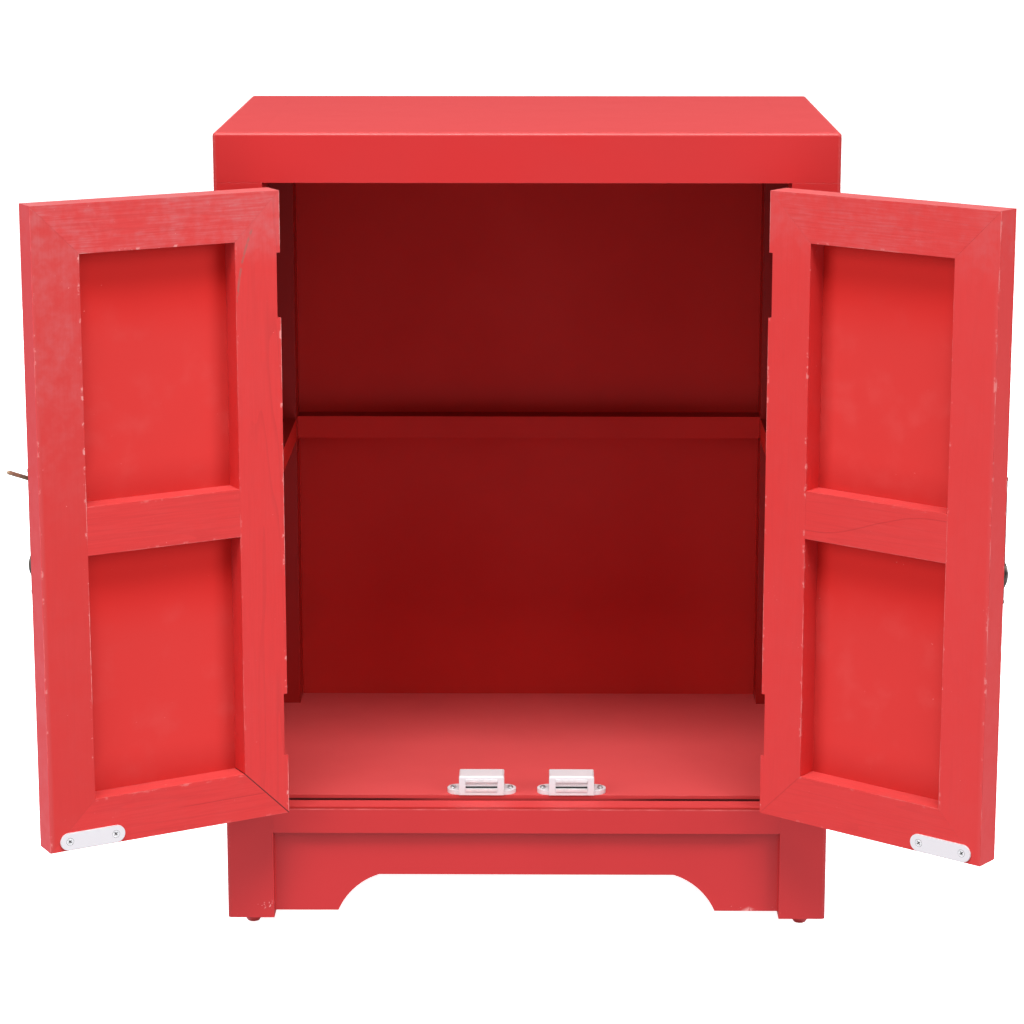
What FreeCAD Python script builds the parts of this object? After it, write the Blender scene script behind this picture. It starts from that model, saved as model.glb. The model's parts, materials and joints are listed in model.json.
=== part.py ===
import FreeCAD, Part
import math
import os

# A red lacquered two-door nightstand. Millimetres, +Z up, X to the right, the front
# faces -Y. The origin is the middle of the footprint, on the floor. The doors stand
# open in the modelled pose.

V = FreeCAD.Vector
X_AXIS = V(1, 0, 0)
Y_AXIS = V(0, 1, 0)
Z_AXIS = V(0, 0, 1)
LEFT = -1
RIGHT = 1
SIDES = {"left": LEFT, "right": RIGHT}

# Overall size with the doors closed
WIDTH = 450.0
DEPTH = 300.0
HEIGHT = 600.0

# Posts and rails
POST_SIZE = 35.0
POST_ROUND = 3.0
POST_TENON_SIZE = 15.0
POST_TENON_LENGTH = 18.0
TOP_RAIL_HEIGHT = 36.0
TOP_ROUND = 2.5
SILL_TOP = 94.0
SILL_HEIGHT = 19.0
RAIL_TENON_LENGTH = 10.0
RAIL_TENON_THICKNESS = 12.0
RAIL_TENON_SHOULDER = 3.0

# Boards and panels
TOP_BOARD_THICKNESS = 15.0
TOP_TONGUE_THICKNESS = 6.0
TOP_TONGUE_DROP = 6.0
GROOVE_DEPTH = 8.0
SIDE_PANEL_THICKNESS = 10.0
SIDE_PANEL_RECESS = 6.0
BACK_PANEL_THICKNESS = 4.0
BACK_PANEL_RECESS = 2.0
BOTTOM_BOARD_THICKNESS = 12.0
BOTTOM_BOARD_STEP = 3.5
BOTTOM_BOARD_SETBACK = 23.4
BOTTOM_BOARD_GAP = 3.0

# Shelf bearers
BEARER_TOP = 339.5
BEARER_HEIGHT = 18.0
BEARER_DEPTH = 19.0

# Aprons with their arches
APRON_THICKNESS = 18.0
APRON_RECESS = 6.0
APRON_FOOT = 12.0
APRON_END = 48.0
ARCH_RUN = 31.0
ARCH_RISE = 28.5
ARCH_BULGE = 4.6
APRON_TENON_LENGTH = 8.0
APRON_TENON_THICKNESS = 8.0
APRON_TENON_SHOULDER = 10.0

# Foot glides
GLIDE_HEIGHT = 8.0
GLIDE_RADIUS = 7.0
GLIDE_FLAT_RADIUS = 4.5
GLIDE_SHOULDER_INSET = 0.8
GLIDE_SHOULDER_HEIGHT = 3.0
GLIDE_NAIL_RADIUS = 1.25
GLIDE_NAIL_LENGTH = 15.0

# Doors
DOOR_THICKNESS = 20.0
DOOR_SIDE_GAP = 1.0
DOOR_TOP_GAP = 2.5
DOOR_BOTTOM_GAP = 5.0
DOOR_CENTRE_GAP = 4.0
STILE_WIDTH = 35.0
DOOR_RAIL_HEIGHT = 35.0
MIDDLE_RAIL_HEIGHT = 35.0
PANEL_THICKNESS = 3.0
REBATE_WIDTH = 6.0
DOOR_TENON_THICKNESS = 6.0
DOOR_TENON_LENGTH = 10.0
DOOR_OPEN_ANGLE = {LEFT: 150.0, RIGHT: 141.5}

# Butt hinges
HINGE_LENGTH = 46.0
HINGE_INSET = 68.0
HINGE_LEAF_THICKNESS = 1.5
HINGE_LEAF_GAP = 0.8
HINGE_LEAF_DEPTH = 14.0
HINGE_BARREL_RADIUS = 3.0
HINGE_BARREL_CLEARANCE = 0.3
HINGE_PIN_RADIUS = 1.5
HINGE_PIN_CLEARANCE = 0.05
HINGE_PIN_HEAD_RADIUS = 2.4
HINGE_PIN_HEAD_HEIGHT = 1.2
HINGE_KNUCKLES = 5
HINGE_KNUCKLE_GAP = 0.2
HINGE_NOTCH_MARGIN = 0.5
HINGE_SCREW_SPACING = 28.0

# Countersunk wood screws
SCREW_HEAD_RADIUS = 2.8
SCREW_HEAD_DEPTH = 1.4
SCREW_SHANK_RADIUS = 1.4
SCREW_LENGTH = 12.0

# Magnetic catches and their strike plates
CATCH_X = 34.0
CATCH_WIDTH = 34.0
CATCH_HEIGHT = 15.0
CATCH_DEPTH = 19.0
CATCH_ROUND = 1.5
CATCH_FLANGE_SPAN = 52.0
CATCH_FLANGE_DEPTH = 17.0
CATCH_FLANGE_THICKNESS = 3.3
CATCH_SCREW_SPACING = 43.0
CATCH_SLOT_LENGTH = 7.0
CATCH_SCREW_HEAD_RADIUS = 2.4
CATCH_SCREW_HEAD_HEIGHT = 1.4
CATCH_SCREW_LENGTH = 9.0
CATCH_GAP = 0.4
POLE_WIDTH = 24.0
POLE_THICKNESS = 2.3
POLE_LENGTH = 14.0
POLE_PROUD = 0.5
POLE_FLOOR = 3.0
MAGNET_THICKNESS = 5.0
MAGNET_RECESS = 1.5
STRIKE_LENGTH = 49.0
STRIKE_HEIGHT = 12.5
STRIKE_THICKNESS = 1.5
STRIKE_MARGIN = 0.75
STRIKE_SCREW_SPACING = 35.0

# Round pull plate, split over both doors, with eyes, rings and lock pin
PLATE_RADIUS = 45.0
PLATE_THICKNESS = 1.2
PLATE_EDGE_INSET = 0.2
PLATE_RIM_WIDTH = 2.5
PLATE_RIM_HEIGHT = 0.6
NAIL_RING_RADIUS = 38.0
NAIL_ANGLES = (-22.0, 22.0, 52.0)
NAIL_HEAD_RADIUS = 2.2
NAIL_HEAD_HEIGHT = 1.2
NAIL_SHANK_RADIUS = 0.8
NAIL_LENGTH = 10.0
EYE_FOOT_RADIUS = 5.5
EYE_FOOT_HEIGHT = 1.2
EYE_WIDTH = 5.0
EYE_SHANK_RADIUS = 2.0
EYE_SHANK_LENGTH = 12.0
RING_EYE_INSET = 17.5
RING_EYE_DROP = 11.0
RING_STANDOFF = 6.5
RING_RADIUS = 15.0
RING_WIRE_RADIUS = 1.8
RING_EYE_CLEARANCE = 0.5
EYE_WALL = 2.4
LOCK_LOOP_INSET = 10.0
LOCK_LOOP_RISE = 34.0
LOCK_STANDOFF = 7.0
LOCK_PIN_RADIUS = 1.6
LOCK_PIN_CLEARANCE = 1.6
LOCK_PIN_SAG = 0.2
LOCK_PIN_TILT = 22.0
LOCK_PIN_REACH = 24.5
LOCK_PIN_TAIL = 35.5
LOCK_PIN_KNOB_RADIUS = 3.5

# Places worked out from the sizes above
HALF_WIDTH = WIDTH / 2
HALF_DEPTH = DEPTH / 2
FRONT = -HALF_DEPTH
OPEN_X = HALF_WIDTH - POST_SIZE
OPEN_Y = HALF_DEPTH - POST_SIZE
POST_TOP = HEIGHT - TOP_RAIL_HEIGHT
SILL_BOTTOM = SILL_TOP - SILL_HEIGHT
BOTTOM_BOARD_TOP = SILL_TOP + BOTTOM_BOARD_STEP
SIDE_PANEL_OUT = HALF_WIDTH - SIDE_PANEL_RECESS
SIDE_PANEL_IN = SIDE_PANEL_OUT - SIDE_PANEL_THICKNESS
BACK_PANEL_OUT = HALF_DEPTH - BACK_PANEL_RECESS
BACK_PANEL_IN = BACK_PANEL_OUT - BACK_PANEL_THICKNESS

DOOR_OUT = OPEN_X - DOOR_SIDE_GAP
DOOR_IN = DOOR_CENTRE_GAP / 2
DOOR_BOTTOM = SILL_TOP + DOOR_BOTTOM_GAP
DOOR_TOP = POST_TOP - DOOR_TOP_GAP
DOOR_MIDDLE = (DOOR_BOTTOM + DOOR_TOP) / 2
DOOR_BACK = FRONT + DOOR_THICKNESS
PANEL_BACK = FRONT + PANEL_THICKNESS

HINGE_X = OPEN_X - HINGE_LEAF_THICKNESS - HINGE_LEAF_GAP / 2
HINGE_Y = FRONT - HINGE_BARREL_RADIUS - HINGE_BARREL_CLEARANCE
HINGE_LEAF_FRONT = FRONT + HINGE_BARREL_CLEARANCE
HINGE_LEAF_BACK = FRONT + HINGE_LEAF_DEPTH
HINGE_SCREW_Y = (HINGE_LEAF_FRONT + HINGE_LEAF_BACK) / 2
DOOR_LEAF_FACE = HINGE_X - HINGE_LEAF_GAP / 2
DOOR_LEAF_SEAT = DOOR_LEAF_FACE - HINGE_LEAF_THICKNESS
FRAME_LEAF_FACE = HINGE_X + HINGE_LEAF_GAP / 2
HINGE_HEIGHTS = (DOOR_BOTTOM + HINGE_INSET, DOOR_TOP - HINGE_INSET)

STRIKE_Z = DOOR_BOTTOM + STRIKE_MARGIN + STRIKE_HEIGHT / 2
POLE_FACE = DOOR_BACK + STRIKE_THICKNESS + CATCH_GAP
CATCH_FRONT = POLE_FACE + POLE_PROUD
CATCH_MIDDLE = CATCH_FRONT + CATCH_DEPTH / 2

PLATE_FACE = FRONT - PLATE_THICKNESS
RING_EYE_X = DOOR_IN + RING_EYE_INSET
RING_EYE_Y = FRONT - RING_STANDOFF
RING_EYE_Z = DOOR_MIDDLE - RING_EYE_DROP
LOCK_LOOP_X = DOOR_IN + LOCK_LOOP_INSET
LOCK_LOOP_Y = FRONT - LOCK_STANDOFF
LOCK_LOOP_Z = DOOR_MIDDLE + LOCK_LOOP_RISE


def block(x0, x1, y0, y1, z0, z1):
    """A box between two corners, given in any order."""
    low = V(min(x0, x1), min(y0, y1), min(z0, z1))
    return Part.makeBox(abs(x1 - x0), abs(y1 - y0), abs(z1 - z0), low)


def prism(points, travel):
    """A flat outline pushed along a vector."""
    return Part.Face(Part.makePolygon(points + points[:1])).extrude(travel)


def cylinder(radius, start, travel):
    return Part.makeCylinder(radius, travel.Length, start, travel)


def one_solid(shape):
    """The single solid of a boolean result, with split faces joined."""
    return shape.removeSplitter().Solids[0]


def turned(profile):
    """A solid turned about Z, from curves in the XZ plane that start and end on the axis."""
    wire = Part.Wire([curve.toShape() for curve in profile])
    return Part.Face(wire).revolve(V(0, 0, 0), Z_AXIS, 360).Solids[0]


def screw(head, travel):
    """A countersunk wood screw from the middle of its head along a unit vector."""
    cone = Part.makeCone(SCREW_HEAD_RADIUS, SCREW_SHANK_RADIUS, SCREW_HEAD_DEPTH, head, travel)
    shank = cylinder(SCREW_SHANK_RADIUS, head, travel * SCREW_LENGTH)
    return one_solid(cone.fuse(shank))


# Carcass


def post_blank(side_x, side_y):
    """A corner post with its outer arris rounded and a tenon on top."""
    x_out = side_x * HALF_WIDTH
    y_out = side_y * HALF_DEPTH
    post = block(x_out, side_x * OPEN_X, y_out, side_y * OPEN_Y, GLIDE_HEIGHT, POST_TOP)
    arris = [
        edge
        for edge in post.Edges
        if all(abs(v.X - x_out) + abs(v.Y - y_out) < POST_ROUND for v in edge.Vertexes)
    ]
    post = post.makeFillet(POST_ROUND, arris)
    middle_x = side_x * (HALF_WIDTH - POST_SIZE / 2)
    middle_y = side_y * (HALF_DEPTH - POST_SIZE / 2)
    half = POST_TENON_SIZE / 2
    tenon = block(
        middle_x - half,
        middle_x + half,
        middle_y - half,
        middle_y + half,
        POST_TOP,
        POST_TOP + POST_TENON_LENGTH,
    )
    return one_solid(post.fuse(tenon))


def glide(side_x, side_y):
    """A domed foot glide with a flat sole and a nail."""
    rim = V(GLIDE_RADIUS, 0, GLIDE_HEIGHT)
    sole = V(GLIDE_FLAT_RADIUS, 0, 0)
    shoulder = V(GLIDE_RADIUS - GLIDE_SHOULDER_INSET, 0, GLIDE_SHOULDER_HEIGHT)
    top = GLIDE_HEIGHT + GLIDE_NAIL_LENGTH
    nail_foot = V(GLIDE_NAIL_RADIUS, 0, GLIDE_HEIGHT)
    nail_top = V(GLIDE_NAIL_RADIUS, 0, top)
    body = turned(
        [
            Part.LineSegment(V(0, 0, 0), sole),
            Part.Arc(sole, shoulder, rim),
            Part.LineSegment(rim, nail_foot),
            Part.LineSegment(nail_foot, nail_top),
            Part.LineSegment(nail_top, V(0, 0, top)),
            Part.LineSegment(V(0, 0, top), V(0, 0, 0)),
        ]
    )
    middle_x = side_x * (HALF_WIDTH - POST_SIZE / 2)
    middle_y = side_y * (HALF_DEPTH - POST_SIZE / 2)
    body.translate(V(middle_x, middle_y, 0))
    return body


def top_board():
    """The top board with a tongue all round."""
    board = block(-OPEN_X, OPEN_X, -OPEN_Y, OPEN_Y, HEIGHT - TOP_BOARD_THICKNESS, HEIGHT)
    tongue_top = HEIGHT - TOP_TONGUE_DROP
    x = OPEN_X + GROOVE_DEPTH
    y = OPEN_Y + GROOVE_DEPTH
    tongue = block(-x, x, -y, y, tongue_top - TOP_TONGUE_THICKNESS, tongue_top)
    return one_solid(board.fuse(tongue))


def top_frame_blank():
    """The whole top frame before it is cut into its four mitred rails."""
    frame = block(-HALF_WIDTH, HALF_WIDTH, -HALF_DEPTH, HALF_DEPTH, POST_TOP, HEIGHT)
    upright = [e for e in frame.Edges if abs(e.Vertexes[0].Z - e.Vertexes[1].Z) > POST_ROUND]
    frame = frame.makeFillet(POST_ROUND, upright)
    upper = [e for e in frame.Edges if all(abs(v.Z - HEIGHT) < TOP_ROUND for v in e.Vertexes)]
    frame = frame.makeFillet(TOP_ROUND, upper)
    return frame.cut(block(-OPEN_X, OPEN_X, -OPEN_Y, OPEN_Y, POST_TOP, HEIGHT))


def top_rails(board):
    """Front, back, left and right rail of the top frame, mitred at the corners."""
    frame = top_frame_blank().cut(board)
    outer = [
        V(-HALF_WIDTH, -HALF_DEPTH, POST_TOP),
        V(HALF_WIDTH, -HALF_DEPTH, POST_TOP),
        V(HALF_WIDTH, HALF_DEPTH, POST_TOP),
        V(-HALF_WIDTH, HALF_DEPTH, POST_TOP),
    ]
    inner = [
        V(-OPEN_X, -OPEN_Y, POST_TOP),
        V(OPEN_X, -OPEN_Y, POST_TOP),
        V(OPEN_X, OPEN_Y, POST_TOP),
        V(-OPEN_X, OPEN_Y, POST_TOP),
    ]
    rails = {}
    for index, name in enumerate(("front", "right", "back", "left")):
        after = (index + 1) % 4
        corner = [outer[index], outer[after], inner[after], inner[index]]
        rails[name] = frame.common(prism(corner, Z_AXIS * TOP_RAIL_HEIGHT))
    return rails


def bottom_board():
    """The bottom board, notched round the four posts and reaching the panels."""
    bottom = BOTTOM_BOARD_TOP - BOTTOM_BOARD_THICKNESS
    front = FRONT + BOTTOM_BOARD_SETBACK
    long_part = block(-OPEN_X, OPEN_X, front, BACK_PANEL_IN, bottom, BOTTOM_BOARD_TOP)
    wide_part = block(-SIDE_PANEL_IN, SIDE_PANEL_IN, -OPEN_Y, OPEN_Y, bottom, BOTTOM_BOARD_TOP)
    return one_solid(long_part.fuse(wide_part))


def bottom_board_slot():
    """The open joint in front of the bottom board's edge, in the sill."""
    edge = FRONT + BOTTOM_BOARD_SETBACK
    low = BOTTOM_BOARD_TOP - BOTTOM_BOARD_THICKNESS
    return block(-OPEN_X, OPEN_X, edge - BOTTOM_BOARD_GAP, edge, low, SILL_TOP)


def bottom_rail_x(side_y):
    """The front or back bottom rail, with a tenon at each end."""
    rail = block(
        -OPEN_X, OPEN_X, side_y * HALF_DEPTH, side_y * OPEN_Y, SILL_BOTTOM, SILL_TOP
    )
    reach = OPEN_X + RAIL_TENON_LENGTH
    middle = side_y * (HALF_DEPTH - POST_SIZE / 2)
    half = RAIL_TENON_THICKNESS / 2
    low = SILL_BOTTOM + RAIL_TENON_SHOULDER
    high = SILL_TOP - RAIL_TENON_SHOULDER
    return one_solid(rail.fuse(block(-reach, reach, middle - half, middle + half, low, high)))


def bottom_rail_y(side_x):
    """The left or right bottom rail, with a tenon at each end."""
    rail = block(
        side_x * HALF_WIDTH, side_x * OPEN_X, -OPEN_Y, OPEN_Y, SILL_BOTTOM, SILL_TOP
    )
    reach = OPEN_Y + RAIL_TENON_LENGTH
    middle = side_x * (HALF_WIDTH - POST_SIZE / 2)
    half = RAIL_TENON_THICKNESS / 2
    low = SILL_BOTTOM + RAIL_TENON_SHOULDER
    high = SILL_TOP - RAIL_TENON_SHOULDER
    return one_solid(rail.fuse(block(middle - half, middle + half, -reach, reach, low, high)))


def side_panel(side):
    reach = OPEN_Y + GROOVE_DEPTH
    low = SILL_TOP - GROOVE_DEPTH
    high = POST_TOP + GROOVE_DEPTH
    return block(side * SIDE_PANEL_IN, side * SIDE_PANEL_OUT, -reach, reach, low, high)


def back_panel():
    reach = OPEN_X + GROOVE_DEPTH
    low = SILL_TOP - GROOVE_DEPTH
    high = POST_TOP + GROOVE_DEPTH
    return block(-reach, reach, BACK_PANEL_IN, BACK_PANEL_OUT, low, high)


def side_bearer(side):
    low = BEARER_TOP - BEARER_HEIGHT
    return block(side * OPEN_X, side * SIDE_PANEL_IN, -OPEN_Y, OPEN_Y, low, BEARER_TOP)


def back_bearer():
    low = BEARER_TOP - BEARER_HEIGHT
    front = BACK_PANEL_IN - BEARER_DEPTH
    return block(-OPEN_X, OPEN_X, front, BACK_PANEL_IN, low, BEARER_TOP)


def apron_outline(half_span):
    """The apron's face, in X and Z: flat feet, two concave arcs and a flat arch top."""
    foot = half_span - APRON_END
    crown = foot - ARCH_RUN
    arch_top = APRON_FOOT + ARCH_RISE
    chord = math.hypot(ARCH_RUN, ARCH_RISE)
    bulge_x = (foot + crown) / 2 + ARCH_BULGE * ARCH_RISE / chord
    bulge_z = (APRON_FOOT + arch_top) / 2 + ARCH_BULGE * ARCH_RUN / chord
    corners = [
        V(-foot, 0, APRON_FOOT),
        V(-half_span, 0, APRON_FOOT),
        V(-half_span, 0, SILL_BOTTOM),
        V(half_span, 0, SILL_BOTTOM),
        V(half_span, 0, APRON_FOOT),
        V(foot, 0, APRON_FOOT),
    ]
    edges = [Part.LineSegment(a, b).toShape() for a, b in zip(corners, corners[1:])]
    right_crown = V(crown, 0, arch_top)
    left_crown = V(-crown, 0, arch_top)
    edges.append(Part.Arc(corners[-1], V(bulge_x, 0, bulge_z), right_crown).toShape())
    edges.append(Part.LineSegment(right_crown, left_crown).toShape())
    edges.append(Part.Arc(left_crown, V(-bulge_x, 0, bulge_z), corners[0]).toShape())
    return Part.Face(Part.Wire(edges))


def apron(half_span):
    """An apron board along X, its outer face on Y = 0, with a tenon at each end."""
    board = apron_outline(half_span).extrude(Y_AXIS * APRON_THICKNESS)
    reach = half_span + APRON_TENON_LENGTH
    front = (APRON_THICKNESS - APRON_TENON_THICKNESS) / 2
    low = APRON_FOOT + APRON_TENON_SHOULDER
    high = SILL_BOTTOM - APRON_TENON_SHOULDER
    for side in (LEFT, RIGHT):
        board = board.fuse(
            block(
                side * half_span,
                side * reach,
                front,
                front + APRON_TENON_THICKNESS,
                low,
                high,
            )
        )
    return one_solid(board)


def front_apron():
    board = apron(OPEN_X)
    board.translate(V(0, FRONT + APRON_RECESS, 0))
    return board


def side_apron(side):
    board = apron(OPEN_Y)
    board.rotate(V(0, 0, 0), Z_AXIS, 90 * side)
    board.translate(V(side * (HALF_WIDTH - APRON_RECESS), 0, 0))
    return board


# Magnetic catches on the bottom board


def catch_pole(side, low):
    half = POLE_WIDTH / 2
    middle = side * CATCH_X
    back = POLE_FACE + POLE_LENGTH
    return block(middle - half, middle + half, POLE_FACE, back, low, low + POLE_THICKNESS)


def catch_poles(side):
    low = BOTTOM_BOARD_TOP + POLE_FLOOR
    return [catch_pole(side, low), catch_pole(side, low + POLE_THICKNESS + MAGNET_THICKNESS)]


def catch_magnet(side):
    half = POLE_WIDTH / 2
    middle = side * CATCH_X
    low = BOTTOM_BOARD_TOP + POLE_FLOOR + POLE_THICKNESS
    return block(
        middle - half,
        middle + half,
        POLE_FACE + MAGNET_RECESS,
        POLE_FACE + POLE_LENGTH,
        low,
        low + MAGNET_THICKNESS,
    )


def catch_screw_places(side):
    offset = CATCH_SCREW_SPACING / 2
    return [V(side * CATCH_X + hand * offset, CATCH_MIDDLE, 0) for hand in (LEFT, RIGHT)]


def catch_housing(side):
    """The plastic housing: a rounded block on a flange with two slotted ears."""
    middle = side * CATCH_X
    floor = BOTTOM_BOARD_TOP
    half = CATCH_WIDTH / 2
    top = floor + CATCH_HEIGHT
    body = block(
        middle - half, middle + half, CATCH_FRONT, CATCH_FRONT + CATCH_DEPTH, floor, top
    )
    rounded = [
        edge
        for edge in body.Edges
        if all(abs(v.Z - top) < CATCH_ROUND for v in edge.Vertexes)
    ]
    body = body.makeFillet(CATCH_ROUND, rounded)
    end = CATCH_FLANGE_DEPTH / 2
    ear = CATCH_FLANGE_SPAN / 2 - end
    rise = Z_AXIS * CATCH_FLANGE_THICKNESS
    flange = block(
        middle - ear,
        middle + ear,
        CATCH_MIDDLE - end,
        CATCH_MIDDLE + end,
        floor,
        floor + CATCH_FLANGE_THICKNESS,
    )
    for hand in (LEFT, RIGHT):
        flange = flange.fuse(cylinder(end, V(middle + hand * ear, CATCH_MIDDLE, floor), rise))
    body = body.fuse(flange)
    reach = (CATCH_SLOT_LENGTH - 2 * SCREW_SHANK_RADIUS) / 2
    for place in catch_screw_places(side):
        foot = V(place.x, place.y, floor)
        body = body.cut(cylinder(SCREW_SHANK_RADIUS, foot - Y_AXIS * reach, rise))
        body = body.cut(cylinder(SCREW_SHANK_RADIUS, foot + Y_AXIS * reach, rise))
        body = body.cut(
            block(
                foot.x - SCREW_SHANK_RADIUS,
                foot.x + SCREW_SHANK_RADIUS,
                foot.y - reach,
                foot.y + reach,
                floor,
                floor + CATCH_FLANGE_THICKNESS,
            )
        )
    half = POLE_WIDTH / 2
    low = floor + POLE_FLOOR
    high = low + 2 * POLE_THICKNESS + MAGNET_THICKNESS
    pocket = block(middle - half, middle + half, CATCH_FRONT, POLE_FACE + POLE_LENGTH, low, high)
    return one_solid(body.cut(pocket))


def catch_screws(side):
    """Pan-head screws that hold the housing's ears to the bottom board."""
    screws = []
    for place in catch_screw_places(side):
        seat = V(place.x, place.y, BOTTOM_BOARD_TOP + CATCH_FLANGE_THICKNESS)
        head = Part.makeCone(
            CATCH_SCREW_HEAD_RADIUS,
            CATCH_SCREW_HEAD_RADIUS - CATCH_SCREW_HEAD_HEIGHT / 2,
            CATCH_SCREW_HEAD_HEIGHT,
            seat,
            Z_AXIS,
        )
        shank = cylinder(SCREW_SHANK_RADIUS, seat, Z_AXIS * -CATCH_SCREW_LENGTH)
        screws.append(one_solid(head.fuse(shank)))
    return screws


# Butt hinges, in the closed position


def knuckles(side, height, first):
    """Every second knuckle of one barrel, starting at knuckle number first."""
    pitch = HINGE_LENGTH / HINGE_KNUCKLES
    rings = []
    for index in range(first, HINGE_KNUCKLES, 2):
        low = height - HINGE_LENGTH / 2 + index * pitch + HINGE_KNUCKLE_GAP / 2
        start = V(side * HINGE_X, HINGE_Y, low)
        rings.append((start, pitch - HINGE_KNUCKLE_GAP))
    return rings


def hinge_leaf(side, height, seat, face, first, bore):
    """A leaf with its knuckles: seat and face are the leaf's two faces in X."""
    low = height - HINGE_LENGTH / 2
    high = height + HINGE_LENGTH / 2
    leaf = block(side * seat, side * face, HINGE_LEAF_FRONT, HINGE_LEAF_BACK, low, high)
    tab_front = HINGE_Y + HINGE_PIN_RADIUS + HINGE_PIN_CLEARANCE
    for start, length in knuckles(side, height, first):
        leaf = leaf.fuse(cylinder(HINGE_BARREL_RADIUS, start, Z_AXIS * length))
        tab = block(
            side * seat, side * face, tab_front, HINGE_LEAF_FRONT, start.z, start.z + length
        )
        leaf = leaf.fuse(tab)
    hole = cylinder(bore, V(side * HINGE_X, HINGE_Y, low), Z_AXIS * HINGE_LENGTH)
    return leaf.cut(hole)


def hinge_screws(side, height, face, hand):
    """Screws through a leaf, driven along X away from the leaf's open face."""
    offset = HINGE_SCREW_SPACING / 2
    places = [V(side * face, HINGE_SCREW_Y, height + step) for step in (-offset, offset)]
    return [screw(place, X_AXIS * (side * hand)) for place in places]


def frame_leaf(side, height):
    return hinge_leaf(side, height, OPEN_X, FRAME_LEAF_FACE, 0, HINGE_PIN_RADIUS)


def door_leaf(side, height):
    bore = HINGE_PIN_RADIUS + HINGE_PIN_CLEARANCE
    return hinge_leaf(side, height, DOOR_LEAF_SEAT, DOOR_LEAF_FACE, 1, bore)


def hinge_pin(side, height):
    """The pin with a button head at each end of the barrel."""
    foot = V(side * HINGE_X, HINGE_Y, height - HINGE_LENGTH / 2)
    top = foot + Z_AXIS * HINGE_LENGTH
    pin = cylinder(HINGE_PIN_RADIUS, foot, Z_AXIS * HINGE_LENGTH)
    tip_radius = HINGE_PIN_HEAD_RADIUS - HINGE_PIN_HEAD_HEIGHT / 2
    for start, way in ((foot, Z_AXIS * -1), (top, Z_AXIS)):
        head = Part.makeCone(
            HINGE_PIN_HEAD_RADIUS, tip_radius, HINGE_PIN_HEAD_HEIGHT, start, way
        )
        pin = pin.fuse(head)
    return one_solid(pin)


# Doors, in the closed position


def door_member(corners):
    """A mitred door member from its outline in X and Z."""
    outline = [V(x, FRONT, z) for x, z in corners]
    return prism(outline, Y_AXIS * DOOR_THICKNESS)


def door_panel(side, low, high):
    """A thin panel between two rails, flush in a rebate of the frame's front face."""
    near = DOOR_IN + STILE_WIDTH - REBATE_WIDTH
    far = DOOR_OUT - STILE_WIDTH + REBATE_WIDTH
    bottom = low - REBATE_WIDTH
    top = high + REBATE_WIDTH
    return block(side * near, side * far, FRONT, PANEL_BACK, bottom, top)


def door_panels(side):
    half_rail = MIDDLE_RAIL_HEIGHT / 2
    lower = door_panel(side, DOOR_BOTTOM + DOOR_RAIL_HEIGHT, DOOR_MIDDLE - half_rail)
    upper = door_panel(side, DOOR_MIDDLE + half_rail, DOOR_TOP - DOOR_RAIL_HEIGHT)
    return {"lower": lower, "upper": upper}


def middle_rail(side):
    """The rail across the middle of a door, with a tenon at each end."""
    near = DOOR_IN + STILE_WIDTH
    far = DOOR_OUT - STILE_WIDTH
    low = DOOR_MIDDLE - MIDDLE_RAIL_HEIGHT / 2
    high = DOOR_MIDDLE + MIDDLE_RAIL_HEIGHT / 2
    rail = block(side * near, side * far, FRONT, DOOR_BACK, low, high)
    front = FRONT + (DOOR_THICKNESS - DOOR_TENON_THICKNESS) / 2
    tenon = block(
        side * (near - DOOR_TENON_LENGTH),
        side * (far + DOOR_TENON_LENGTH),
        front,
        front + DOOR_TENON_THICKNESS,
        low,
        high,
    )
    return rail.fuse(tenon)


def door_frame(side):
    """The five frame members of a door, before the hardware is let in."""
    out = side * DOOR_OUT
    inn = side * DOOR_IN
    out_edge = side * (DOOR_OUT - STILE_WIDTH)
    inn_edge = side * (DOOR_IN + STILE_WIDTH)
    low_edge = DOOR_BOTTOM + DOOR_RAIL_HEIGHT
    top_edge = DOOR_TOP - DOOR_RAIL_HEIGHT
    members = {
        "hinge_stile": door_member(
            [(out, DOOR_BOTTOM), (out, DOOR_TOP), (out_edge, top_edge), (out_edge, low_edge)]
        ),
        "meeting_stile": door_member(
            [(inn, DOOR_BOTTOM), (inn, DOOR_TOP), (inn_edge, top_edge), (inn_edge, low_edge)]
        ),
        "top_rail": door_member(
            [(out, DOOR_TOP), (inn, DOOR_TOP), (inn_edge, top_edge), (out_edge, top_edge)]
        ),
        "bottom_rail": door_member(
            [(out, DOOR_BOTTOM), (inn, DOOR_BOTTOM), (inn_edge, low_edge), (out_edge, low_edge)]
        ),
    }
    rail = middle_rail(side)
    for name in ("hinge_stile", "meeting_stile"):
        members[name] = members[name].cut(rail)
    members["middle_rail"] = rail
    for name in members:
        for panel in door_panels(side).values():
            members[name] = members[name].cut(panel)
    return members


def hinge_notch(side, height):
    """The notch through the stile's edge that takes a hinge's two leaves."""
    half = HINGE_LENGTH / 2 + HINGE_NOTCH_MARGIN
    return block(
        side * DOOR_LEAF_SEAT, side * DOOR_OUT, FRONT, DOOR_BACK, height - half, height + half
    )


def strike_plate(side):
    """A plate with round ends on the door's inner face."""
    middle = side * CATCH_X
    end = STRIKE_HEIGHT / 2
    reach = STRIKE_LENGTH / 2 - end
    back = DOOR_BACK + STRIKE_THICKNESS
    plate = block(
        middle - reach, middle + reach, DOOR_BACK, back, STRIKE_Z - end, STRIKE_Z + end
    )
    for hand in (LEFT, RIGHT):
        start = V(middle + hand * reach, DOOR_BACK, STRIKE_Z)
        plate = plate.fuse(cylinder(end, start, Y_AXIS * STRIKE_THICKNESS))
    return plate


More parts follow.
